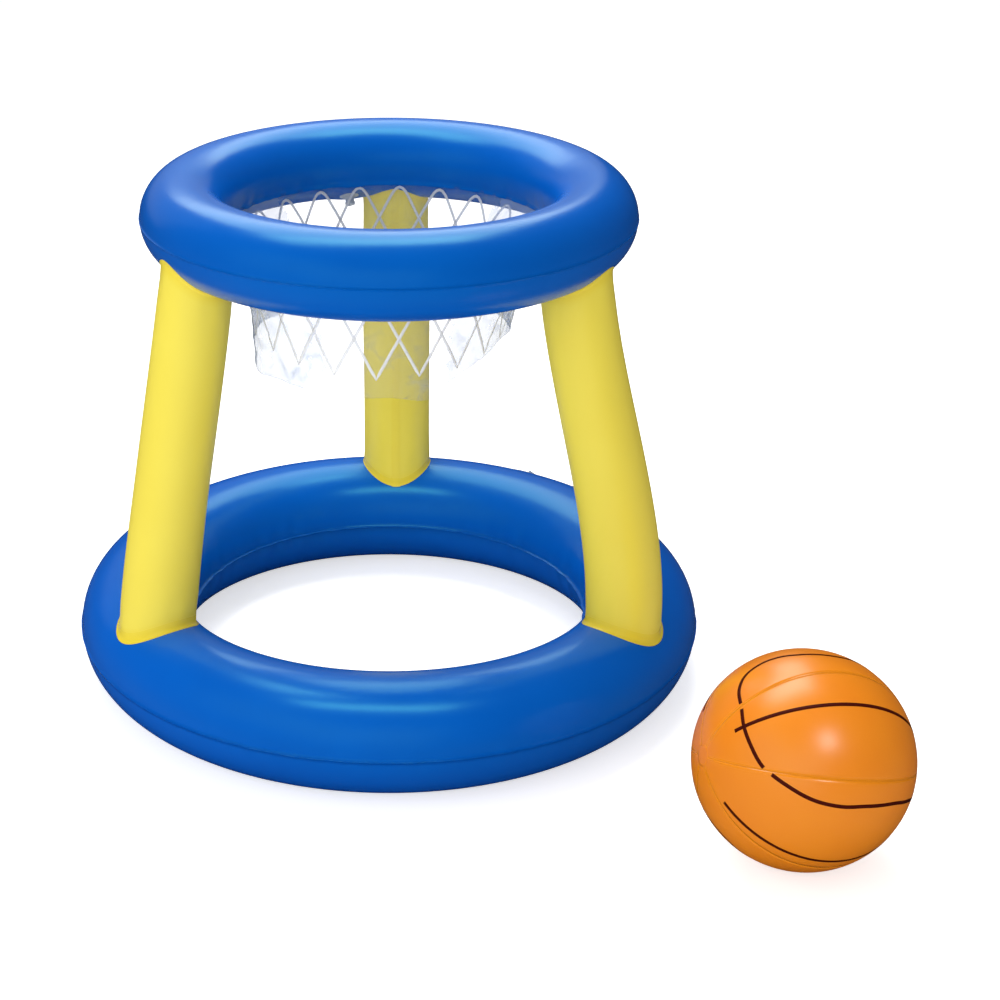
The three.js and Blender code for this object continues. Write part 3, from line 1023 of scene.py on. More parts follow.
@dataclass
class InflatedLeg:
    """A rolled sheet with a lengthwise lap, whose ends flare into flanges welded to both rings.

    Its middle line is a curve with four control points, from the base ring's tube to the hoop
    ring's, and its bows say how far out each stands from where it would be on a straight line.
    """

    name: str
    azimuth_degrees: float
    bows: tuple[float, float, float, float]
    base: InflatedRing
    hoop: InflatedRing
    phase: float
    foot_radius: float = 35.7 * MM
    middle_radius: float = 34.4 * MM
    top_radius: float = 32.8 * MM
    flange_thickness: float = 0.55 * MM
    seat: float = 0.35 * MM
    foot_flange: float = 3.2 * MM
    top_flange: float = 2.4 * MM
    flare: float = 5 * MM
    foot_band: float = 9 * MM
    lap_width: float = 8 * MM
    lap_rise: float = 0.45 * MM
    pleat: float = 0.5 * MM
    pleat_reach: float = 34 * MM
    pleat_counts: tuple[int, ...] = (4, 7, 11)
    pleat_sink: float = 0.5
    swell: float = 0.35 * MM
    swell_rate: float = 9.0
    foot_band_start: float = 1.6
    lap_weld_share: float = 0.35
    top_weld_share: float = 0.6
    sides: int = 120
    rows: int = 44
    flare_steps: int = 6
    halvings: int = 40

    def middle(self, share: float) -> tuple[Vector, Vector]:
        """Gives the middle line's place and direction at a share of the way up.

        Args:
            share: From 0 in the base ring to 1 in the hoop ring.

        Returns:
            The place and the unit direction, as (reach, height).
        """
        rest = 1 - share
        ends = (self.base.radius, self.hoop.radius)
        straight = (ends[0] + (ends[1] - ends[0]) * i / 3 for i in range(4))
        a, b, c, d = (reach + bow for reach, bow in zip(straight, self.bows))
        low, high = self.base.height, self.hoop.height
        reach = a * rest**3 + 3 * b * rest**2 * share + 3 * c * rest * share**2 + d * share**3
        slope = 3 * ((b - a) * rest**2 + 2 * (c - b) * rest * share + (d - c) * share**2)
        place = Vector((reach, low + (high - low) * share))
        return place, Vector((slope, high - low)).normalized()

    def radius(self, share: float) -> float:
        """Gives the leg's radius at a share of the way up."""
        low = self.foot_radius + (self.middle_radius - self.foot_radius) * smooth_step(2 * share)
        return low + (self.top_radius - self.middle_radius) * smooth_step(2 * share - 1)

    def lap(self, turn: float) -> float:
        """Gives 1 at a turn on the lap, which is half a turn round and faces the axis, and else 0."""
        edge = self.lap_width / 2 / self.middle_radius
        return 1.0 if abs(turn - math.pi) <= edge else 0.0

    def axis(self, share: float) -> Vector:
        """Gives the middle line's place in the row frame.

        Args:
            share: The share of the way up.

        Returns:
            The place.
        """
        place, _ = self.middle(share)
        azimuth = math.radians(self.azimuth_degrees)
        return self.base.centre + Vector(
            (math.cos(azimuth) * place.x, math.sin(azimuth) * place.x, place.y)
        )

    def wall(self, share: float, turn: float, grow: float = 0.0) -> Vector:
        """Gives a place on the leg's wall.

        Args:
            share: The share of the way up.
            turn: The turn round the leg, from the side that faces away from the axis.
            grow: A distance added to the radius.

        Returns:
            The place in the row frame.
        """
        place, way = self.middle(share)
        across = Vector((way.y, -way.x))
        radius = self.radius(share) + self.lap_rise * self.lap(turn) + grow
        azimuth = math.radians(self.azimuth_degrees)
        radial = Vector((math.cos(azimuth), math.sin(azimuth), 0))
        aside = Vector((-math.sin(azimuth), math.cos(azimuth), 0))
        spot = place + across * radius * math.cos(turn)
        return (
            self.base.centre
            + radial * spot.x
            + aside * radius * math.sin(turn)
            + Vector((0, 0, spot.y))
        )

    def meets(self, ring: InflatedRing, turn: float, inside: float, outside: float) -> float:
        """Finds the share of the way up at which the wall meets a ring.

        Args:
            ring: The ring.
            turn: The turn round the leg.
            inside: A share that lies inside the ring.
            outside: A share that lies outside it.

        Returns:
            The share between them.
        """
        for _ in range(self.halvings):
            half = (inside + outside) / 2
            if ring.distance(self.wall(half, turn)) < self.seat:
                inside = half
            else:
                outside = half
        return outside

    def flared(
        self, ring: InflatedRing, turn: float, meet: float, start: float, reach: float
    ) -> list[Vector]:
        """Curves the wall out into a flange on a ring.

        Args:
            ring: The ring that the flange lies on.
            turn: The turn round the leg.
            meet: The share of the way up at which the wall would meet the ring.
            start: The share at which the curve leaves the wall.
            reach: How far the flange goes out from the wall.

        Returns:
            Places from the flange's edge to the wall.
        """
        corner, upper = self.wall(meet, turn), self.wall(start, turn)
        normal = ring.outward(corner)
        away = corner - self.axis(meet)
        away = away - normal * away.dot(normal)
        edge = corner + away.normalized() * reach
        edge -= ring.outward(edge) * (ring.distance(edge) - self.seat)
        places = []
        for i in range(self.flare_steps + 1):
            share = i / self.flare_steps
            places.append(
                edge * (1 - share) ** 2 + corner * 2 * share * (1 - share) + upper * share**2
            )
        return places

    def gathered(self, share: float, turn: float, foot: float, top: float) -> float:
        """Gives how far the wall swells or pleats at a place.

        Args:
            share: The share of the way up.
            turn: The turn round the leg.
            foot: The share at which this line of the wall leaves the base ring.
            top: The share at which it reaches the hoop ring.

        Returns:
            A distance added to the radius.
        """
        length = self.hoop.height - self.base.height
        near = min(share - foot, top - share) * length
        pleats = self.pleat * smooth_step(1 - near / self.pleat_reach)
        pleats *= smooth_step(near / self.flare)
        ripple = waves(turn, self.pleat_counts, self.phase) - self.pleat_sink
        slow = self.swell * math.sin(self.swell_rate * share + self.phase)
        slow *= math.cos(2 * turn + self.phase)
        return pleats * ripple + slow * smooth_step(near / self.pleat_reach)

    def line(self, turn: float) -> tuple[list[Vector], list[float]]:
        """Draws the wall's line at a turn, from one flange's edge to the other's.

        Args:
            turn: The turn round the leg.

        Returns:
            The places, and how much of the deeper weld colour each takes.
        """
        foot = self.meets(self.base, turn, 0.0, 0.5)
        top = self.meets(self.hoop, turn, 1.0, 0.5)
        length = self.hoop.height - self.base.height
        step = self.flare / length
        low, high = foot + step, top - step
        places = self.flared(self.base, turn, foot, low, self.foot_flange)
        welded = [1.0] * len(places)
        for i in range(1, self.rows):
            share = low + (high - low) * i / self.rows
            grow = self.gathered(share, turn, foot, top)
            places.append(self.wall(share, turn, grow))
            # A band up from the foot takes the deeper weld colour, darker towards the foot
            band = smooth_step(self.foot_band_start - (share - foot) * length / self.foot_band)
            welded.append(max(band, self.lap_weld_share * self.lap(turn)))
        flange = self.flared(self.hoop, turn, top, high, self.top_flange)
        places += reversed(flange)
        welded += [self.top_weld_share] * len(flange)
        return places, welded

    def build(self) -> None:
        """Builds the leg in place of its node."""
        lines = [self.line(FULL_TURN * i / self.sides) for i in range(self.sides)]
        rings = list(zip(*(places for places, _ in lines)))
        shares = list(zip(*(welded for _, welded in lines)))
        bm = loft(rings, shares)
        axis = sum((Vector(spot) for spot in rings[len(rings) // 2]), Vector()) / self.sides
        face_out(bm, lambda place: (place - axis).xy.to_3d())
        piece = finish_piece(bm, f"{self.name}_sheet", LEG_VINYL.material())
        thicken(piece, self.flange_thickness, Wall.INWARD)
        stand_for(baked(piece), "hoop_frame", [self.name])


# Uneven lines: stops round a full turn, from -180 to 180 degrees


# (turn round the crown, degrees down from the crown) of the long oval on the ball
OVAL_LINE = (
    (-180, 66.0), (-165, 73.0), (-150, 73.0), (-143, 68.8), (-137, 64.2), (-121, 56.0),
    (-99, 51.9), (-81, 52.6), (-62, 54.1), (-47, 55.0), (-35, 56.4), (-28, 57.6), (-12, 57.2),
    (0, 57.3), (13, 57.4), (27, 60.4), (39, 60.4), (50, 56.1), (60, 50.0), (70, 43.6),
    (87, 38.9), (104, 39.0), (118, 44.0), (130, 51.0), (143, 58.6), (155, 60.8), (168, 63.4),
    (180, 66.0),
)  # fmt: skip

# (turn round the cone, millimetres that the net's hem hangs past its even length)
HEM_EXTRA = (
    (-180, 3.0), (-165, 7.0), (-152, 7.5), (-138, 3.0), (-122, 0.5), (-105, -2.5), (-90, -2.0),
    (-77, 4.0), (-69, -4.0), (-60, -12.0), (-50, -18.0), (-35, -21.0), (-15, -17.0), (10, -9.0),
    (45, -4.0), (90, 0.0), (130, 3.0), (160, 0.0), (180, 3.0),
)  # fmt: skip


def between_stops(stops: Sequence[Point], turn: float) -> float:
    """Gives a smooth value between stops round a full turn.

    Args:
        stops: Pairs of (turn in degrees, value) from -180 to 180, alike at both ends.
        turn: The turn in degrees.

    Returns:
        The value there.
    """
    held = (turn + 180) % 360 - 180
    last = max(next(i for i, (stop, _) in enumerate(stops) if stop >= held), 1)
    around = [stops[min(max(last + k, 0), len(stops) - 1)] for k in (-2, -1, 0, 1)]
    (start, low), (stop, high) = around[1], around[2]
    width = stop - start
    share = (held - start) / width
    into = (high - around[0][1]) / (stop - around[0][0]) * width
    away = (around[3][1] - low) / (around[3][0] - start) * width
    cubed, squared = share**3, share**2
    return (
        low * (2 * cubed - 3 * squared + 1)
        + into * (cubed - 2 * squared + share)
        + high * (3 * squared - 2 * cubed)
        + away * (cubed - squared)
    )


# Net


@dataclass
class NetSkirt:
    """A cone of clear film that hangs from the hoop ring's inner weld, with a printed lattice.

    Below its weld the cone is drawn in by its waist and by its hem's oval, leans aside and waves.
    """

    hoop: InflatedRing
    hem_reach: float
    hem_height: float
    hem_oval: float = 13 * MM
    waist: float = 8 * MM
    sway: float = -1 * MM
    side_lean: float = 9 * MM
    film: float = 0.3 * MM
    weld_width: float = 3 * MM
    wave_depth: float = 1.6 * MM
    wave_shares: tuple[float, float] = (0.65, 0.35)
    wave_counts: tuple[int, int] = (3, 7)
    fold_depth: float = 1.8 * MM
    fold_counts: tuple[int, ...] = (5, 8, 13)
    fold_phase: float = 2.1
    crumple_depth: float = 0.45 * MM
    crumple_counts: tuple[int, int] = (29, 11)
    crumple_lean: float = 26.0
    crumple_sway: float = 1.3
    crumple_sway_count: int = 4
    peaks: int = 24
    peak_offset_degrees: float = 86.0
    line_width: float = 2.7 * MM
    ink_thickness: float = 0.12 * MM
    ink_lift: float = 0.22 * MM
    ink_overlay: float = 0.14 * MM
    print_top: float = 3.4 * MM
    print_bottom: float = 72 * MM
    print_front_drop: float = 21 * MM
    peak_round: float = 0.2
    round_steps: int = 432
    rows: int = 30
    line_steps: int = 14

    def __post_init__(self) -> None:
        """Works out where the cone starts, its slant, and its directions down and out."""
        angle = self.hoop.inner.angle
        self.top_reach = self.hoop.radius + self.hoop.tube * math.cos(angle)
        self.top_height = self.hoop.height + self.hoop.tube * math.sin(angle)
        slant = Vector((self.hem_reach - self.top_reach, self.hem_height - self.top_height))
        self.length = slant.length
        self.down = slant.normalized()
        self.out = Vector((-self.down.y, self.down.x))

    def lift(self, angle: float, drop: float) -> float:
        """Gives how far the film waves outward at a place.

        Args:
            angle: The place round the cone.
            drop: The distance down it from its weld.

        Returns:
            A distance along the cone's outward direction.
        """
        low = drop / self.length
        past = max(drop - self.weld_width, 0.0) / (self.length - self.weld_width)
        oval = self.hem_oval * math.cos(2 * angle) * past
        waist = self.waist * math.cos(angle) ** 2 * math.sin(math.pi * min(past, 1.0))
        wave = self.wave_shares[0] * math.sin(self.wave_counts[0] * angle)
        wave += self.wave_shares[1] * math.cos(self.wave_counts[1] * angle)
        wave *= self.wave_depth * low
        fold = self.fold_depth * low * low * waves(angle, self.fold_counts, self.fold_phase)
        lean = self.crumple_lean * low
        lean += self.crumple_sway * math.sin(self.crumple_sway_count * angle)
        crumple = self.crumple_depth * math.sin(self.crumple_counts[0] * angle + lean)
        crumple *= math.sin(self.crumple_counts[1] * angle - lean)
        leaning = wave + fold - self.side_lean * math.cos(angle) * past
        return leaning + crumple * smooth_step(3 * past) - oval - waist

    def place(self, angle: float, drop: float, outward: float = 0.0) -> Vector:
        """Gives a place on the film.

        Args:
            angle: The place round the cone.
            drop: The distance down it from its weld.
            outward: A distance out from the film's middle.

        Returns:
            The place in the row frame.
        """
        spot = Vector((self.top_reach, self.top_height)) + self.down * drop
        spot += self.out * (outward + self.lift(angle, drop))
        flat = Vector((math.cos(angle), math.sin(angle), 0)) * spot.x
        past = max(drop - self.weld_width, 0.0) / self.length
        return self.hoop.centre + flat + Vector((self.sway * past, 0, spot.y))

    def hem(self, angle: float) -> float:
        """Gives the film's uneven length at a place round the cone."""
        return self.length + between_stops(HEM_EXTRA, math.degrees(angle)) * MM

    def build_film(self) -> bpy.types.Object:
        """Builds the skirt's film in place of its node.

        Returns:
            The film.
        """
        rings = []
        for row in range(self.rows + 1):
            share = row / self.rows
            ring = []
            for i in range(self.round_steps):
                angle = FULL_TURN * i / self.round_steps
                ring.append(self.place(angle, share * self.hem(angle)))
            rings.append(ring)
        crumpled = [[(row / self.rows) ** 2] * self.round_steps for row in range(self.rows + 1)]
        bm = loft(rings, crumpled)
        face_out(bm, lambda place: (place - self.hoop.centre).xy.to_3d())
        piece = finish_piece(bm, "net_skirt_film", NET_FILM.material())
        thicken(piece, self.film, Wall.BOTH)
        return stand_for(baked(piece), "hoop_frame", ["net_film"])

    def zigzag(self, shift: int) -> list[Point]:
        """Draws the middle line of one zigzag, with rounded peaks and sharp valleys.

        Args:
            shift: 0 or 1, by how many pitches it is turned.

        Returns:
            Places as (angle, drop), once round.
        """
        pitch = FULL_TURN / self.peaks
        first = math.radians(self.peak_offset_degrees) + shift * pitch
        top = self.print_top + self.line_width / 2
        half = self.peak_round / 2
        places = []
        for step in range(self.peaks * self.line_steps):
            share = step / self.line_steps
            angle = first + share * pitch
            away = abs((share + 1) % 2 - 1)
            fall = away * away / (4 * half) if away < self.peak_round else away - half
            drop = top + (self.print_bottom - top) * fall / (1 - half)
            places.append((angle, drop + self.print_front_drop * (1 - math.sin(angle)) / 2))
        return places

    def ribbon(self, places: Sequence[Point], lift: float) -> bmesh.types.BMesh:
        """Lays a closed ribbon of ink along a line on the film.

        Args:
            places: The ribbon's middle line as (angle, drop).
            lift: How far its underside lies out from the film's middle.

        Returns:
            The ribbon's lower face.
        """
        sides: list[tuple[Vector, Vector]] = []
        count = len(places)
        for i, (angle, drop) in enumerate(places):
            before, after = places[i - 1], places[(i + 1) % count]
            turn = (after[0] - before[0] + math.pi) % FULL_TURN - math.pi
            reach = self.top_reach + self.down.x * drop
            way = Vector((turn * reach, after[1] - before[1])).normalized()
            aside = Vector((way.y, -way.x)) * self.line_width / 2
            left = self.place(angle + aside.x / reach, drop + aside.y, lift)
            right = self.place(angle - aside.x / reach, drop - aside.y, lift)
            sides.append((left, right))
        return strip(sides, closed=True)

    def build_print(self) -> bpy.types.Object:
        """Builds the printed lattice in place of its node.

        Returns:
            The lattice.
        """
        bm = bmesh.new()
        for shift, extra in ((0, 0.0), (1, self.ink_overlay)):
            ribbon = self.ribbon(self.zigzag(shift), self.ink_lift + extra)
            face_out(ribbon, lambda place: (place - self.hoop.centre).xy.to_3d())
            add_mesh(bm, ribbon)
        piece = finish_piece(bm, "net_lattice_print", NET_INK.material())
        thicken(piece, self.ink_thickness, Wall.OUTWARD)
        return stand_for(baked(piece), "hoop_frame", ["net_print"])

    def build(self) -> None:
        film, ink = self.build_film(), self.build_print()


# Ball


class Pole(Enum):
    """The ends of a ball's seams, by the turn from the seam axis's near end."""

    NEAR = 0.0
    FAR = math.pi


@dataclass
class InflatedBall:
    """A ball of film gores welded from pole to pole, with a patch over each pole and printed lines."""

    centre: Vector
    radius: float = 93 * MM
    axis_azimuth: float = 195.0
    axis_rise: float = 11.0
    spin: float = 49.0
    gores: int = 6
    film: float = 0.3 * MM
    seam_gap: float = 0.02 * MM
    seam_depth: float = 0.025 * MM
    seam_reach: float = 2.2 * MM
    pole_radius: float = 4 * MM
    patch_radius: float = 9 * MM
    patch_lift: float = 0.05 * MM
    patch_undercut: float = 0.1 * MM
    patch_steps: int = 6
    patch_sides: int = 48
    crown: tuple[float, float, float] = (0.296, -0.475, 0.828)
    line_steps: int = 360
    line_width: float = 3.2 * MM
    shortest_run: int = 4
    ink_lift: float = 0.05 * MM
    ink_thickness: float = 0.06 * MM
    ink_shy: float = 1.9 * MM
    ink_from_pole: float = 26.0
    arc_steps: int = 72
    gore_steps: int = 26
    flat_spots: list[FlatSpot] = field(default_factory=list)

    def __post_init__(self) -> None:
        """Works out how the ball lies."""
        self.lie = (
            Matrix.Rotation(math.radians(self.axis_azimuth), 4, "Z")
            @ Matrix.Rotation(math.radians(90 - self.axis_rise), 4, "Y")
            @ Matrix.Rotation(math.radians(self.spin), 4, "Z")
        )
        self.place = Matrix.Translation(self.centre) @ self.lie

    def gore(self, index: int) -> bpy.types.Object:
        """Builds one gore, drawn in at its seams.

        Args:
            index: The gore's number, from 0.

        Returns:
            The gore, with its film's thickness.
        """
        bm = bmesh.new()
        start = math.asin(self.pole_radius / self.radius)
        top = Vector((self.radius * math.sin(start), 0, self.radius * math.cos(start)))
        bm.verts.new(top)
        bmesh.ops.spin(
            bm,
            geom=list(bm.verts),
            cent=(0, 0, 0),
            axis=(0, 1, 0),
            angle=math.pi - 2 * start,
            steps=self.arc_steps,
        )
        width = FULL_TURN / self.gores
        shy = self.seam_gap / self.radius
        bmesh.ops.rotate(
            bm,
            verts=list(bm.verts),
            cent=(0, 0, 0),
            matrix=Matrix.Rotation(index * width + shy, 3, "Z"),
        )
        bmesh.ops.spin(
            bm,
            geom=[*bm.verts, *bm.edges],
            cent=(0, 0, 0),
            axis=(0, 0, 1),
            angle=width - 2 * shy,
            steps=self.gore_steps,
        )
        weld = corner_layer(bm)
        for vert in bm.verts:
            turn = math.atan2(vert.co.y, vert.co.x) % width
            near = min(turn, width - turn) * math.hypot(vert.co.x, vert.co.y)
            share = math.exp(-((near / self.seam_reach) ** 2))
            vert.co *= 1 - self.seam_depth * share / self.radius
            vert[weld] = share
        bm.transform(self.place)
        for vert in bm.verts:
            for spot in self.flat_spots:
                vert.co = spot.settle(vert.co)
            vert.co.z = max(vert.co.z, 0.0)
        face_out(bm, lambda place: place - self.centre)
        piece = finish_piece(bm, f"ball_gore_film_{index + 1}", BALL_VINYL.material())
        thicken(piece, self.film, Wall.INWARD)
        return piece

    def patch(self, pole: Pole) -> None:
        """Builds the patch over a pole in place of its node.

        Args:
            pole: Which pole it is.
        """
        rim = math.asin(self.patch_radius / self.radius)
        reach = self.radius + self.patch_lift
        dome = []
        for i in range(self.patch_steps + 1):
            angle = rim * i / self.patch_steps
            dome.append((reach * math.sin(angle), reach * math.cos(angle)))
        inset = 1 - self.patch_undercut / reach
        under = [(out * inset, up - self.film) for out, up in reversed(dome)]
        bm = revolved([*dome, *under], self.patch_sides)
        bm.transform(self.place @ Matrix.Rotation(pole.value, 4, "X"))
        end = pole.name.lower()
        piece = finish_piece(bm, f"ball_pole_patch_film_{end}", BALL_VINYL.material())
        stand_for(piece, "ball", [f"ball_pole_patch_{end}"])

    def clear_runs(self, ways: Sequence[Vector]) -> list[list[Vector]]:
        """Breaks a line where it would cross a seam or a pole.

        Args:
            ways: Directions from the ball's middle, close together.

        Returns:
            The runs that are long enough to print.
        """
        runs: list[list[Vector]] = [[]]
        for way in ways:
            if self.clear_of_seams(way):
                runs[-1].append(way)
            elif runs[-1]:
                runs.append([])
        return [run for run in runs if len(run) >= self.shortest_run]

    def print_line(self, name: str, ways: Sequence[Vector]) -> None:
        """Prints a line on the ball, broken where it would cross a seam.

        Args:
            name: The printed line's name.
            ways: Directions from the ball's middle, close together.
        """
        bm = bmesh.new()
        reach = self.radius + self.ink_lift
        for run in self.clear_runs(ways):
            sides: list[tuple[Vector, Vector]] = []
            for i, way in enumerate(run):
                along = run[min(i + 1, len(run) - 1)] - run[max(i - 1, 0)]
                aside = way.cross(along).normalized() * self.line_width / 2 / self.radius
                left = self.centre + (way + aside).normalized() * reach
                right = self.centre + (way - aside).normalized() * reach
                sides.append((left, right))
            ribbon = strip(sides, closed=False)
            face_out(ribbon, lambda place: place - self.centre)
            add_mesh(bm, ribbon)
        piece = finish_piece(bm, name, BALL_INK.material())
        thicken(piece, self.ink_thickness, Wall.OUTWARD)
        stand_for(baked(piece), "ball", [])

    def clear_of_seams(self, way: Vector) -> bool:
        """Says whether a direction is far enough from every seam and pole to be printed on.

        Args:
            way: The direction from the ball's middle.

        Returns:
            Whether it is.
        """
        own = self.lie.inverted() @ way
        turn = math.atan2(own.y, own.x) % (FULL_TURN / self.gores)
        near = min(turn, FULL_TURN / self.gores - turn) * math.hypot(own.x, own.y) * self.radius
        from_pole = math.degrees(math.acos(min(abs(own.z), 1.0)))
        return near > self.ink_shy and from_pole > self.ink_from_pole

    def build(self, holes: dict[int, list[bpy.types.Object]]) -> None:
        """Builds the gores, patches and printed lines.

        Args:
            holes: The cutters for each gore that has a valve.
        """
        for index in range(self.gores):
            piece = baked(self.gore(index), holes.get(index, []), Joining.CUT)
            stand_for(piece, "ball", [f"ball_gore_{index + 1}"])
        for pole in Pole:
            self.patch(pole)
        self.build_lines()

    def build_lines(self) -> None:
        """Prints the ball's lines: one over its crown, one round its side and two long ovals."""
        pole = (self.lie @ Vector((0, 0, 1))).normalized()
        crown = Vector(self.crown)
        crown = (crown - pole * crown.dot(pole)).normalized()
        side = pole.cross(crown)
        ring = [FULL_TURN * i / self.line_steps for i in range(self.line_steps)]
        for name, across in (("over_crown", crown), ("round_side", side)):
            ways = [pole * math.cos(angle) + across * math.sin(angle) for angle in ring]
            self.print_line(f"ball_line_{name}", ways)
        for name, up, across in (("upper", crown, side), ("lower", -crown, -side)):
            ways = []
            for angle in ring:
                reach = math.radians(between_stops(OVAL_LINE, math.degrees(angle)))
                flat = pole * math.cos(angle) + across * math.sin(angle)
                ways.append(up * math.cos(reach) + flat * math.sin(reach))
            self.print_line(f"ball_line_oval_{name}", [*ways, ways[0]])


# Valves


@dataclass
class PushInValve:
    """A moulded clear valve: a collar on the film, a stem that pushes in, a plug and an inner flap.

    Its place on the film and its way out are worked out from its own two joints in the frame.
    """

    name: str
    body: str
    collar_radius: float = 9.5 * MM
    collar_thickness: float = 0.6 * MM
    collar_seat: float = 0.05 * MM
    neck_wall: float = 1 * MM
    neck_height: float = 1.6 * MM
    play: float = 0.3 * MM
    stem_radius: float = 4.3 * MM
    bore_radius: float = 3.3 * MM
    stem_reach: float = 7.5 * MM
    stem_depth: float = 6 * MM
    rim_width: float = 0.7 * MM
    rim_height: float = 0.9 * MM
    lip_width: float = 1.2 * MM
    lip_height: float = 0.8 * MM
    lip_drop: float = 1.5 * MM
    plug_radius: float = 4.8 * MM
    plug_height: float = 1.4 * MM
    spigot_radius: float = 2.9 * MM
    spigot_tip_radius: float = 2.3 * MM
    spigot_length: float = 3.2 * MM
    strap_width: float = 3.2 * MM
    strap_thickness: float = 0.9 * MM
    strap_reach: float = 7.6 * MM
    tab_reach: float = 7.2 * MM
    flap_radius: float = 3.9 * MM
    flap_thickness: float = 0.5 * MM
    flap_hinge_reach: float = 4.2 * MM
    flap_tab_width: float = 2.4 * MM
    rounding: float = 0.14 * MM
    sides: int = 48

    def __post_init__(self) -> None:
        """Works out where the valve sits, which way is out, and which way its strap's tab points."""
        joints = {joint["name"]: joint for joint in frame["joints"]}
        hinge = joints[f"{self.name}_open"]
        self.outward = -Vector(joints[f"{self.name}_push"]["axis"]).normalized()
        away = self.outward.cross(Vector(hinge["axis"])).normalized()
        rise = self.stem_reach + self.play / 2
        self.origin = Vector(hinge["pos_m"]) + away * self.strap_reach - self.outward * rise
        side = self.outward.cross(away)
        turn = Matrix((away, side, self.outward)).transposed().to_4x4()
        self.place = Matrix.Translation(self.origin) @ turn

    def flat_spot(self) -> FlatSpot:
        """Gives the place where the collar holds the film flat."""
        return FlatSpot(self.origin, self.outward)

    def cutter(self) -> bpy.types.Object:
        """Makes the tool that cuts the valve's hole in the film.

        Returns:
            The tool.
        """
        bm = bmesh.new()
        radius = self.stem_radius + self.play
        bmesh.ops.create_cone(
            bm,
            cap_ends=True,
            segments=self.sides,
            radius1=radius,
            radius2=radius,
            depth=self.stem_reach,
        )
        bm.transform(self.place)
        return finish_piece(bm, "hole", VALVE_VINYL.material())

    def turned(self, name: str, outline: Sequence[Point]) -> bpy.types.Object:
        """Makes a round piece of the valve from its outline."""
        bm = revolved(outline, self.sides, self.rounding)
        return finish_piece(bm, name, VALVE_VINYL.material())

    def bar(self, near: float, far: float, low: float, high: float, width: float) -> bpy.types.Object:
        """Makes a soft-edged bar along the valve's strap.

        Args:
            near: Where it starts along the strap's line.
            far: Where it ends.
            low: Its underside.
            high: Its upper side.
            width: Its width.

        Returns:
            The bar.
        """
        bm = block(Vector((near, -width / 2, low)), Vector((far, width / 2, high)), self.rounding)
        return finish_piece(bm, "bar", VALVE_VINYL.material())

    def settle(self, piece: bpy.types.Object, body: str, part: str) -> None:
        """Puts a finished piece of the valve in its place and lets it ride.

        Args:
            piece: The piece, drawn about the origin.
            body: The body that it rides on.
            part: The part's name within the valve.
        """
        piece.data.transform(self.place)
        stand_for(piece, body, [f"{self.name}_{part}"])

    def build_collar(self) -> None:
        """Builds the collar, welded to the film, with a neck round the stem."""
        bore, low = self.stem_radius + self.play, self.collar_seat
        high = low + self.collar_thickness
        outline = [
            (bore, low),
            (self.collar_radius, low),
            (self.collar_radius, high),
            (bore + self.neck_wall, high),
            (bore + self.neck_wall, self.neck_height),
            (bore, self.neck_height),
        ]
        self.settle(self.turned(f"{self.name}_collar_disc", outline), self.body, "collar")

    def build_stem(self) -> None:
        """Builds the stem with its rim, inner lip and the root of its strap."""
        rim, lip = self.stem_reach - self.rim_height, -self.lip_drop
        outer, bore = self.stem_radius, self.bore_radius
        outline = [
            (bore, -self.stem_depth),
            (outer, -self.stem_depth),
            (outer, lip - self.lip_height),
            (outer + self.lip_width, lip - self.lip_height),
            (outer + self.lip_width, lip),
            (outer, lip),
            (outer, rim),
            (outer + self.rim_width, rim),
            (outer + self.rim_width, self.stem_reach),
            (bore, self.stem_reach),
        ]
        low = self.stem_reach - self.strap_thickness
        root = self.bar(-self.strap_reach, -outer, low, self.stem_reach, self.strap_width)
        stem = baked(self.turned(f"{self.name}_stem_tube", outline), [root])
        self.settle(stem, f"{self.name}_stem", "stem")

    def build_plug(self) -> None:
        """Builds the plug with its spigot, strap and finger tab."""
        seat = self.stem_reach + self.play
        outline = [
            (0, seat - self.spigot_length),
            (self.spigot_tip_radius, seat - self.spigot_length),
            (self.spigot_radius, seat),
            (self.plug_radius, seat),
            (self.plug_radius, seat + self.plug_height),
            (0, seat + self.plug_height),
        ]
        high, inner = seat + self.strap_thickness, self.plug_radius / 2
        strap = self.bar(-self.strap_reach, -inner, seat, high, self.strap_width)
        tab = self.bar(inner, self.tab_reach, seat, high, self.strap_width)
        plug = baked(self.turned(f"{self.name}_plug_cap", outline), [strap, tab])
        self.settle(plug, f"{self.name}_plug", "plug")

    def build_flap(self) -> None:
        """Builds the inner flap with its hinge tab."""
        top = -self.stem_depth - self.play
        low = top - self.flap_thickness
        outline = [(0, low), (self.flap_radius, low), (self.flap_radius, top), (0, top)]
        inner = self.flap_radius / 2
        tab = self.bar(-self.flap_hinge_reach, -inner, low, top, self.flap_tab_width)
        flap = baked(self.turned(f"{self.name}_flap_disc", outline), [tab])
        self.settle(flap, f"{self.name}_flap", "flap")

    def build(self) -> None:
        """Builds the valve's four pieces."""
        self.build_collar()
        self.build_stem()
        self.build_plug()
        self.build_flap()


# Studio


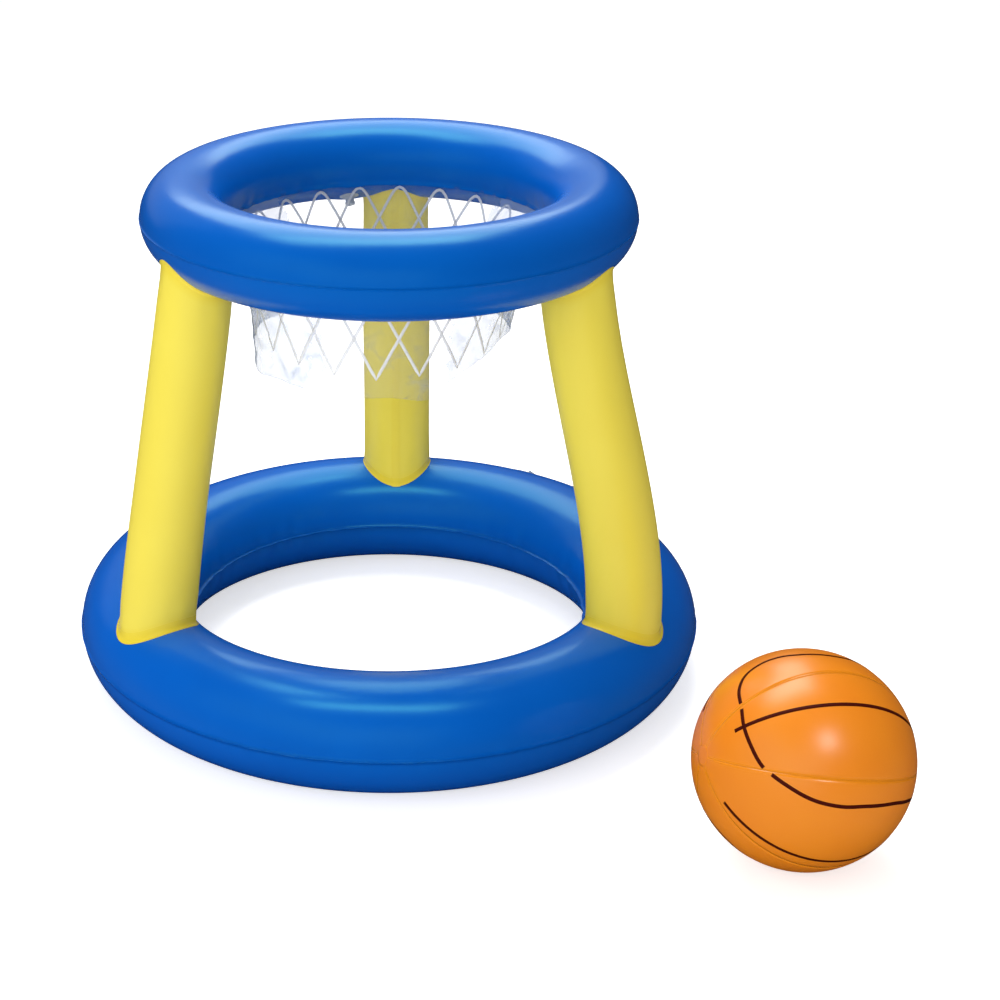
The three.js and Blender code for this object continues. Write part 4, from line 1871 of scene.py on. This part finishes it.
@dataclass(frozen=True)
class SoftLamp:
    """A soft rectangular lamp, placed and aimed in metres from the set's middle on the floor.

    Where mirrored is off, glossy faces don't mirror it. Where only is given, it lights nothing
    but the pieces whose names start so.
    """

    name: str
    place: tuple[float, float, float]
    aim: tuple[float, float, float]
    size: Point
    watts: float
    mirrored: bool = True
    only: str = ""

    def hang(self, centre: Vector) -> None:
        """Hangs the lamp.

        Args:
            centre: The set's middle on the floor.
        """
        light = bpy.data.lights.new(self.name, "AREA")
        light.shape = "RECTANGLE"
        light.size, light.size_y = self.size
        light.energy = self.watts
        lamp = bpy.data.objects.new(self.name, light)
        lamp.visible_camera = False
        lamp.visible_glossy = self.mirrored
        bpy.context.scene.collection.objects.link(lamp)
        place = Vector(self.place)
        lamp.location = centre + place
        lamp.rotation_euler = (Vector(self.aim) - place).to_track_quat("-Z", "Y").to_euler()
        if self.only:
            lit = bpy.data.collections.new(f"lit_by_{self.name}")
            for piece in bpy.context.scene.objects:
                if piece.name.startswith(self.only) and piece.type == "MESH":
                    lit.objects.link(piece)
            lamp.light_linking.receiver_collection = lit


# Where the lamps are aimed
MIDDLE = (0.0, 0.0, 0.2)
HOOP_FRONT = (-0.05, -0.2, 0.45)
BALL_SIDE = (0.2, -0.2, 0.1)

# The strips and the panel make the long highlights on both rings, the fills open up the fronts,
# and the linked lamps make the base ring's front highlight, the rear leg's yellow and the ball's
# round spot
LAMPS = (
    SoftLamp("rear_strip", (-0.15, 0.85, 1.85), HOOP_FRONT, (1.5, 1.9), 31.0),
    SoftLamp("high_strip", (-0.2, 0.25, 2.05), HOOP_FRONT, (1.5, 0.6), 9.0),
    SoftLamp("rear_panel", (-0.8, 2.0, 1.4), MIDDLE, (3.6, 2.0), 6.0),
    SoftLamp("left_fill", (-1.6, -1.3, 1.3), MIDDLE, (1.6, 1.6), 12.0, mirrored=False),
    SoftLamp("front_fill", (-0.4, -2.6, 1.0), MIDDLE, (2.4, 1.6), 26.0, mirrored=False),
    SoftLamp("base_softbox", (-0.1, -0.74, 1.83), MIDDLE, (1.3, 0.3), 10.0, only="base_ring_"),
    SoftLamp(
        "rear_leg_fill", (0.1, -2.2, 1.2), MIDDLE, (1.2, 1.2), 12.0, mirrored=False, only="leg_rear"
    ),
    SoftLamp("ball_softbox", (0.85, -1.65, 1.6), BALL_SIDE, (0.48, 0.48), 9.5, only="ball_"),
)


@dataclass
class Studio:
    """A white floor, white surroundings, soft lamps and the camera at the photograph's angle.

    Rays that see the background find it white. The floor's glow is what that adds to its lit
    face, surround is how strongly the surroundings light the set, and mirrored is how strongly
    glossy faces mirror them.
    """

    centre: Vector
    focal_pixels: float = 2218.25
    image_pixels: float = 1000.0
    principal: tuple[float, float] = (388.93, 470.73)
    distance: float = 2145.67 * MM
    aim_height: float = 200 * MM
    elevation_degrees: float = 23.117
    sensor: float = 36.0
    floor_reach: float = 8.0
    floor_glow: float = 0.6
    floor_white: str = "F4F4F4"
    floor_mirrored: str = "303030"
    surround: float = 0.43
    mirrored: float = 0.024

    def build_camera(self) -> None:
        """Makes the camera, with the small shift that frames the photograph's view."""
        lens = bpy.data.cameras.new("camera")
        lens.sensor_width = self.sensor
        lens.lens = self.focal_pixels / self.image_pixels * self.sensor
        lens.shift_x = (self.image_pixels / 2 - self.principal[0]) / self.image_pixels
        lens.shift_y = (self.principal[1] - self.image_pixels / 2) / self.image_pixels
        camera = bpy.data.objects.new("camera", lens)
        bpy.context.scene.collection.objects.link(camera)
        tilt = math.radians(self.elevation_degrees)
        back, rise = self.distance * math.cos(tilt), self.distance * math.sin(tilt)
        camera.location = self.centre + Vector((0, -back, self.aim_height + rise))
        camera.rotation_euler = (math.pi / 2 - tilt, 0, 0)
        bpy.context.scene.camera = camera

    def build_floor(self) -> None:
        """Makes the floor, which shows white but keeps the object's shadow."""
        made = bpy.data.materials.new("white_paper_sweep")
        made.use_nodes = True
        tree = made.node_tree
        tree.nodes.clear()
        glossy = add_node(tree, "ShaderNodeLightPath").outputs["Is Glossy Ray"]
        paper = add_node(
            tree,
            "ShaderNodeMix",
            {
                "Factor": glossy,
                "A": linear(self.floor_white),
                "B": linear(self.floor_mirrored),
            },
            data_type="RGBA",
        )
        diffuse = add_node(tree, "ShaderNodeBsdfDiffuse", {"Color": result(paper)})
        seen = self.seeing_rays(tree)
        level = add_node(tree, "ShaderNodeMapRange", {"Value": seen, "To Max": self.floor_glow})
        glow = add_node(tree, "ShaderNodeEmission", {"Strength": result(level)})
        both = add_node(tree, "ShaderNodeAddShader", {0: result(diffuse), 1: result(glow)})
        add_node(tree, "ShaderNodeOutputMaterial", {"Surface": result(both)})
        bm = bmesh.new()
        bmesh.ops.create_grid(bm, x_segments=1, y_segments=1, size=self.floor_reach)
        floor = finish_piece(bm, "floor", made, smooth=False)

    def seeing_rays(self, tree: bpy.types.NodeTree) -> bpy.types.NodeSocket:
        """Tells the rays that see the background, straight or through film, from the rest.

        Args:
            tree: The material's or the world's nodes.

        Returns:
            A socket that gives 1 for them, and 0 for the rest.
        """
        path = add_node(tree, "ShaderNodeLightPath")
        kinds = {0: path.outputs["Is Camera Ray"], 1: path.outputs["Is Transmission Ray"]}
        return result(add_node(tree, "ShaderNodeMath", kinds, operation="MAXIMUM"))

    def build_surround(self) -> None:
        """Makes the white surroundings, dimmer as a light than as a background."""
        world = bpy.data.worlds.new("white_surround")
        bpy.context.scene.world = world
        world.use_nodes = True
        tree = world.node_tree
        tree.nodes.clear()
        seen = self.seeing_rays(tree)
        glossy = add_node(tree, "ShaderNodeLightPath").outputs["Is Glossy Ray"]
        unseen = add_node(
            tree,
            "ShaderNodeMapRange",
            {"Value": glossy, "To Min": self.surround, "To Max": self.mirrored},
        )
        level = add_node(
            tree,
            "ShaderNodeMapRange",
            {"Value": seen, "To Min": result(unseen), "To Max": 1.0},
        )
        sky = add_node(
            tree,
            "ShaderNodeBackground",
            {"Color": linear("FFFFFF"), "Strength": result(level)},
        )
        add_node(tree, "ShaderNodeOutputWorld", {"Surface": result(sky)})

    def build(self) -> None:
        """Builds the whole studio."""
        bpy.context.scene.view_settings.view_transform = "Standard"
        self.build_camera()
        self.build_floor()
        self.build_surround()
        for lamp in LAMPS:
            lamp.hang(self.centre)


# The whole set


# The left, the right and the rear leg, in degrees round from the set's right
LEG_AZIMUTHS = (210.0, 330.0, 88.0)

# How far round the hoop's tube the net's weld lies below its middle
NET_WELD_DROP_DEGREES = 24.0

# The net's hem, before its waves: its distance from the axis and its height
HEM_REACH, HEM_HEIGHT = 132 * MM, 333 * MM

# The ball's place on the floor, to the right and to the front of the set's middle
BALL_ASIDE, BALL_AHEAD = 346 * MM, 364 * MM

# The ball's valve goes through its fourth gore, counted from 0
BALL_VALVE_GORE = 3


def middle_of(node: str) -> Vector:
    """Gives the middle of a node's box, on the floor."""
    low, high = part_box(node)
    return Vector(((low.x + high.x) / 2, (low.y + high.y) / 2, 0))


def base_ring(centre: Vector) -> InflatedRing:
    """Gives the base ring, which rests on the floor.

    Args:
        centre: The set's middle on the floor.

    Returns:
        The ring, not yet built.
    """
    return InflatedRing(
        name="base_ring",
        finish=RING_VINYL,
        slot="ring_blue",
        centre=centre,
        radius=248 * MM,
        tube=54 * MM,
        height=53 * MM,
        outer=Weld(0.0, 0.0, width=1 * MM),
        inner=Weld(math.pi, math.pi),
        leg_azimuths=LEG_AZIMUTHS,
        floor=0.0,
    )


def hoop_ring(centre: Vector) -> InflatedRing:
    """Gives the hoop ring, whose inner weld runs down along the net's slope.

    Args:
        centre: The set's middle on the floor.

    Returns:
        The ring, not yet built.
    """
    radius, tube, height = 190 * MM, 39 * MM, 460 * MM
    angle = math.radians(180 + NET_WELD_DROP_DEGREES)
    top_reach, top_height = radius + tube * math.cos(angle), height + tube * math.sin(angle)
    run = math.atan2(HEM_HEIGHT - top_height, HEM_REACH - top_reach) + FULL_TURN
    return InflatedRing(
        name="hoop_ring",
        finish=HOOP_VINYL,
        slot="hoop_blue",
        centre=centre,
        radius=radius,
        tube=tube,
        height=height,
        outer=Weld(0.0, 0.0, gap=0.02 * MM, width=0.6 * MM),
        inner=Weld(angle, run, gap=0.2 * MM),
        leg_azimuths=LEG_AZIMUTHS,
        inner_pucker=0.35 * MM,
        outer_pucker=0.14 * MM,
        inner_pucker_reach=20 * MM,
        phase=1.7,
    )


def build_legs(base: InflatedRing, hoop: InflatedRing) -> None:
    """Builds the three legs, each bowed in its own way.

    Args:
        base: The base ring.
        hoop: The hoop ring.
    """
    left, right, rear = LEG_AZIMUTHS
    left_bows = (6 * MM, 14 * MM, 0.0, 2 * MM)
    right_bows = (-1 * MM, 44 * MM, -15 * MM, -1 * MM)
    rear_bows = (-3 * MM, 28 * MM, -8 * MM, 2 * MM)
    InflatedLeg("leg_left", left, left_bows, base, hoop, phase=0.3).build()
    InflatedLeg("leg_right", right, right_bows, base, hoop, phase=1.9).build()
    InflatedLeg("leg_rear", rear, rear_bows, base, hoop, phase=3.1, foot_flange=1 * MM).build()


def main() -> None:
    """Builds every sub-assembly in order, and then the studio."""
    logging.basicConfig(level=logging.INFO, format="%(name)s: %(message)s")
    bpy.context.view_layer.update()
    centre = middle_of("base_ring_bottom_panel")
    base, hoop = base_ring(centre), hoop_ring(centre)
    hoop_valve = PushInValve("hoop_valve", "hoop_frame")
    base_valve = PushInValve("base_valve", "hoop_frame")
    ball_valve = PushInValve("ball_valve", "ball")
    hoop.flat_spots.append(hoop_valve.flat_spot())
    base.flat_spots.append(base_valve.flat_spot())
    base.build({Panel.TOP: [base_valve.cutter()]})
    hoop.build({Panel.BOTTOM: [hoop_valve.cutter()]})
    build_legs(base, hoop)
    NetSkirt(hoop, HEM_REACH, HEM_HEIGHT).build()
    ball = InflatedBall(centre + Vector((BALL_ASIDE, -BALL_AHEAD, InflatedBall.radius)))
    ball.flat_spots.append(ball_valve.flat_spot())
    ball.build({BALL_VALVE_GORE: [ball_valve.cutter()]})
    for valve in (hoop_valve, base_valve, ball_valve):
        valve.build()
    Studio(centre).build()


if __name__ == "__main__":
    main()
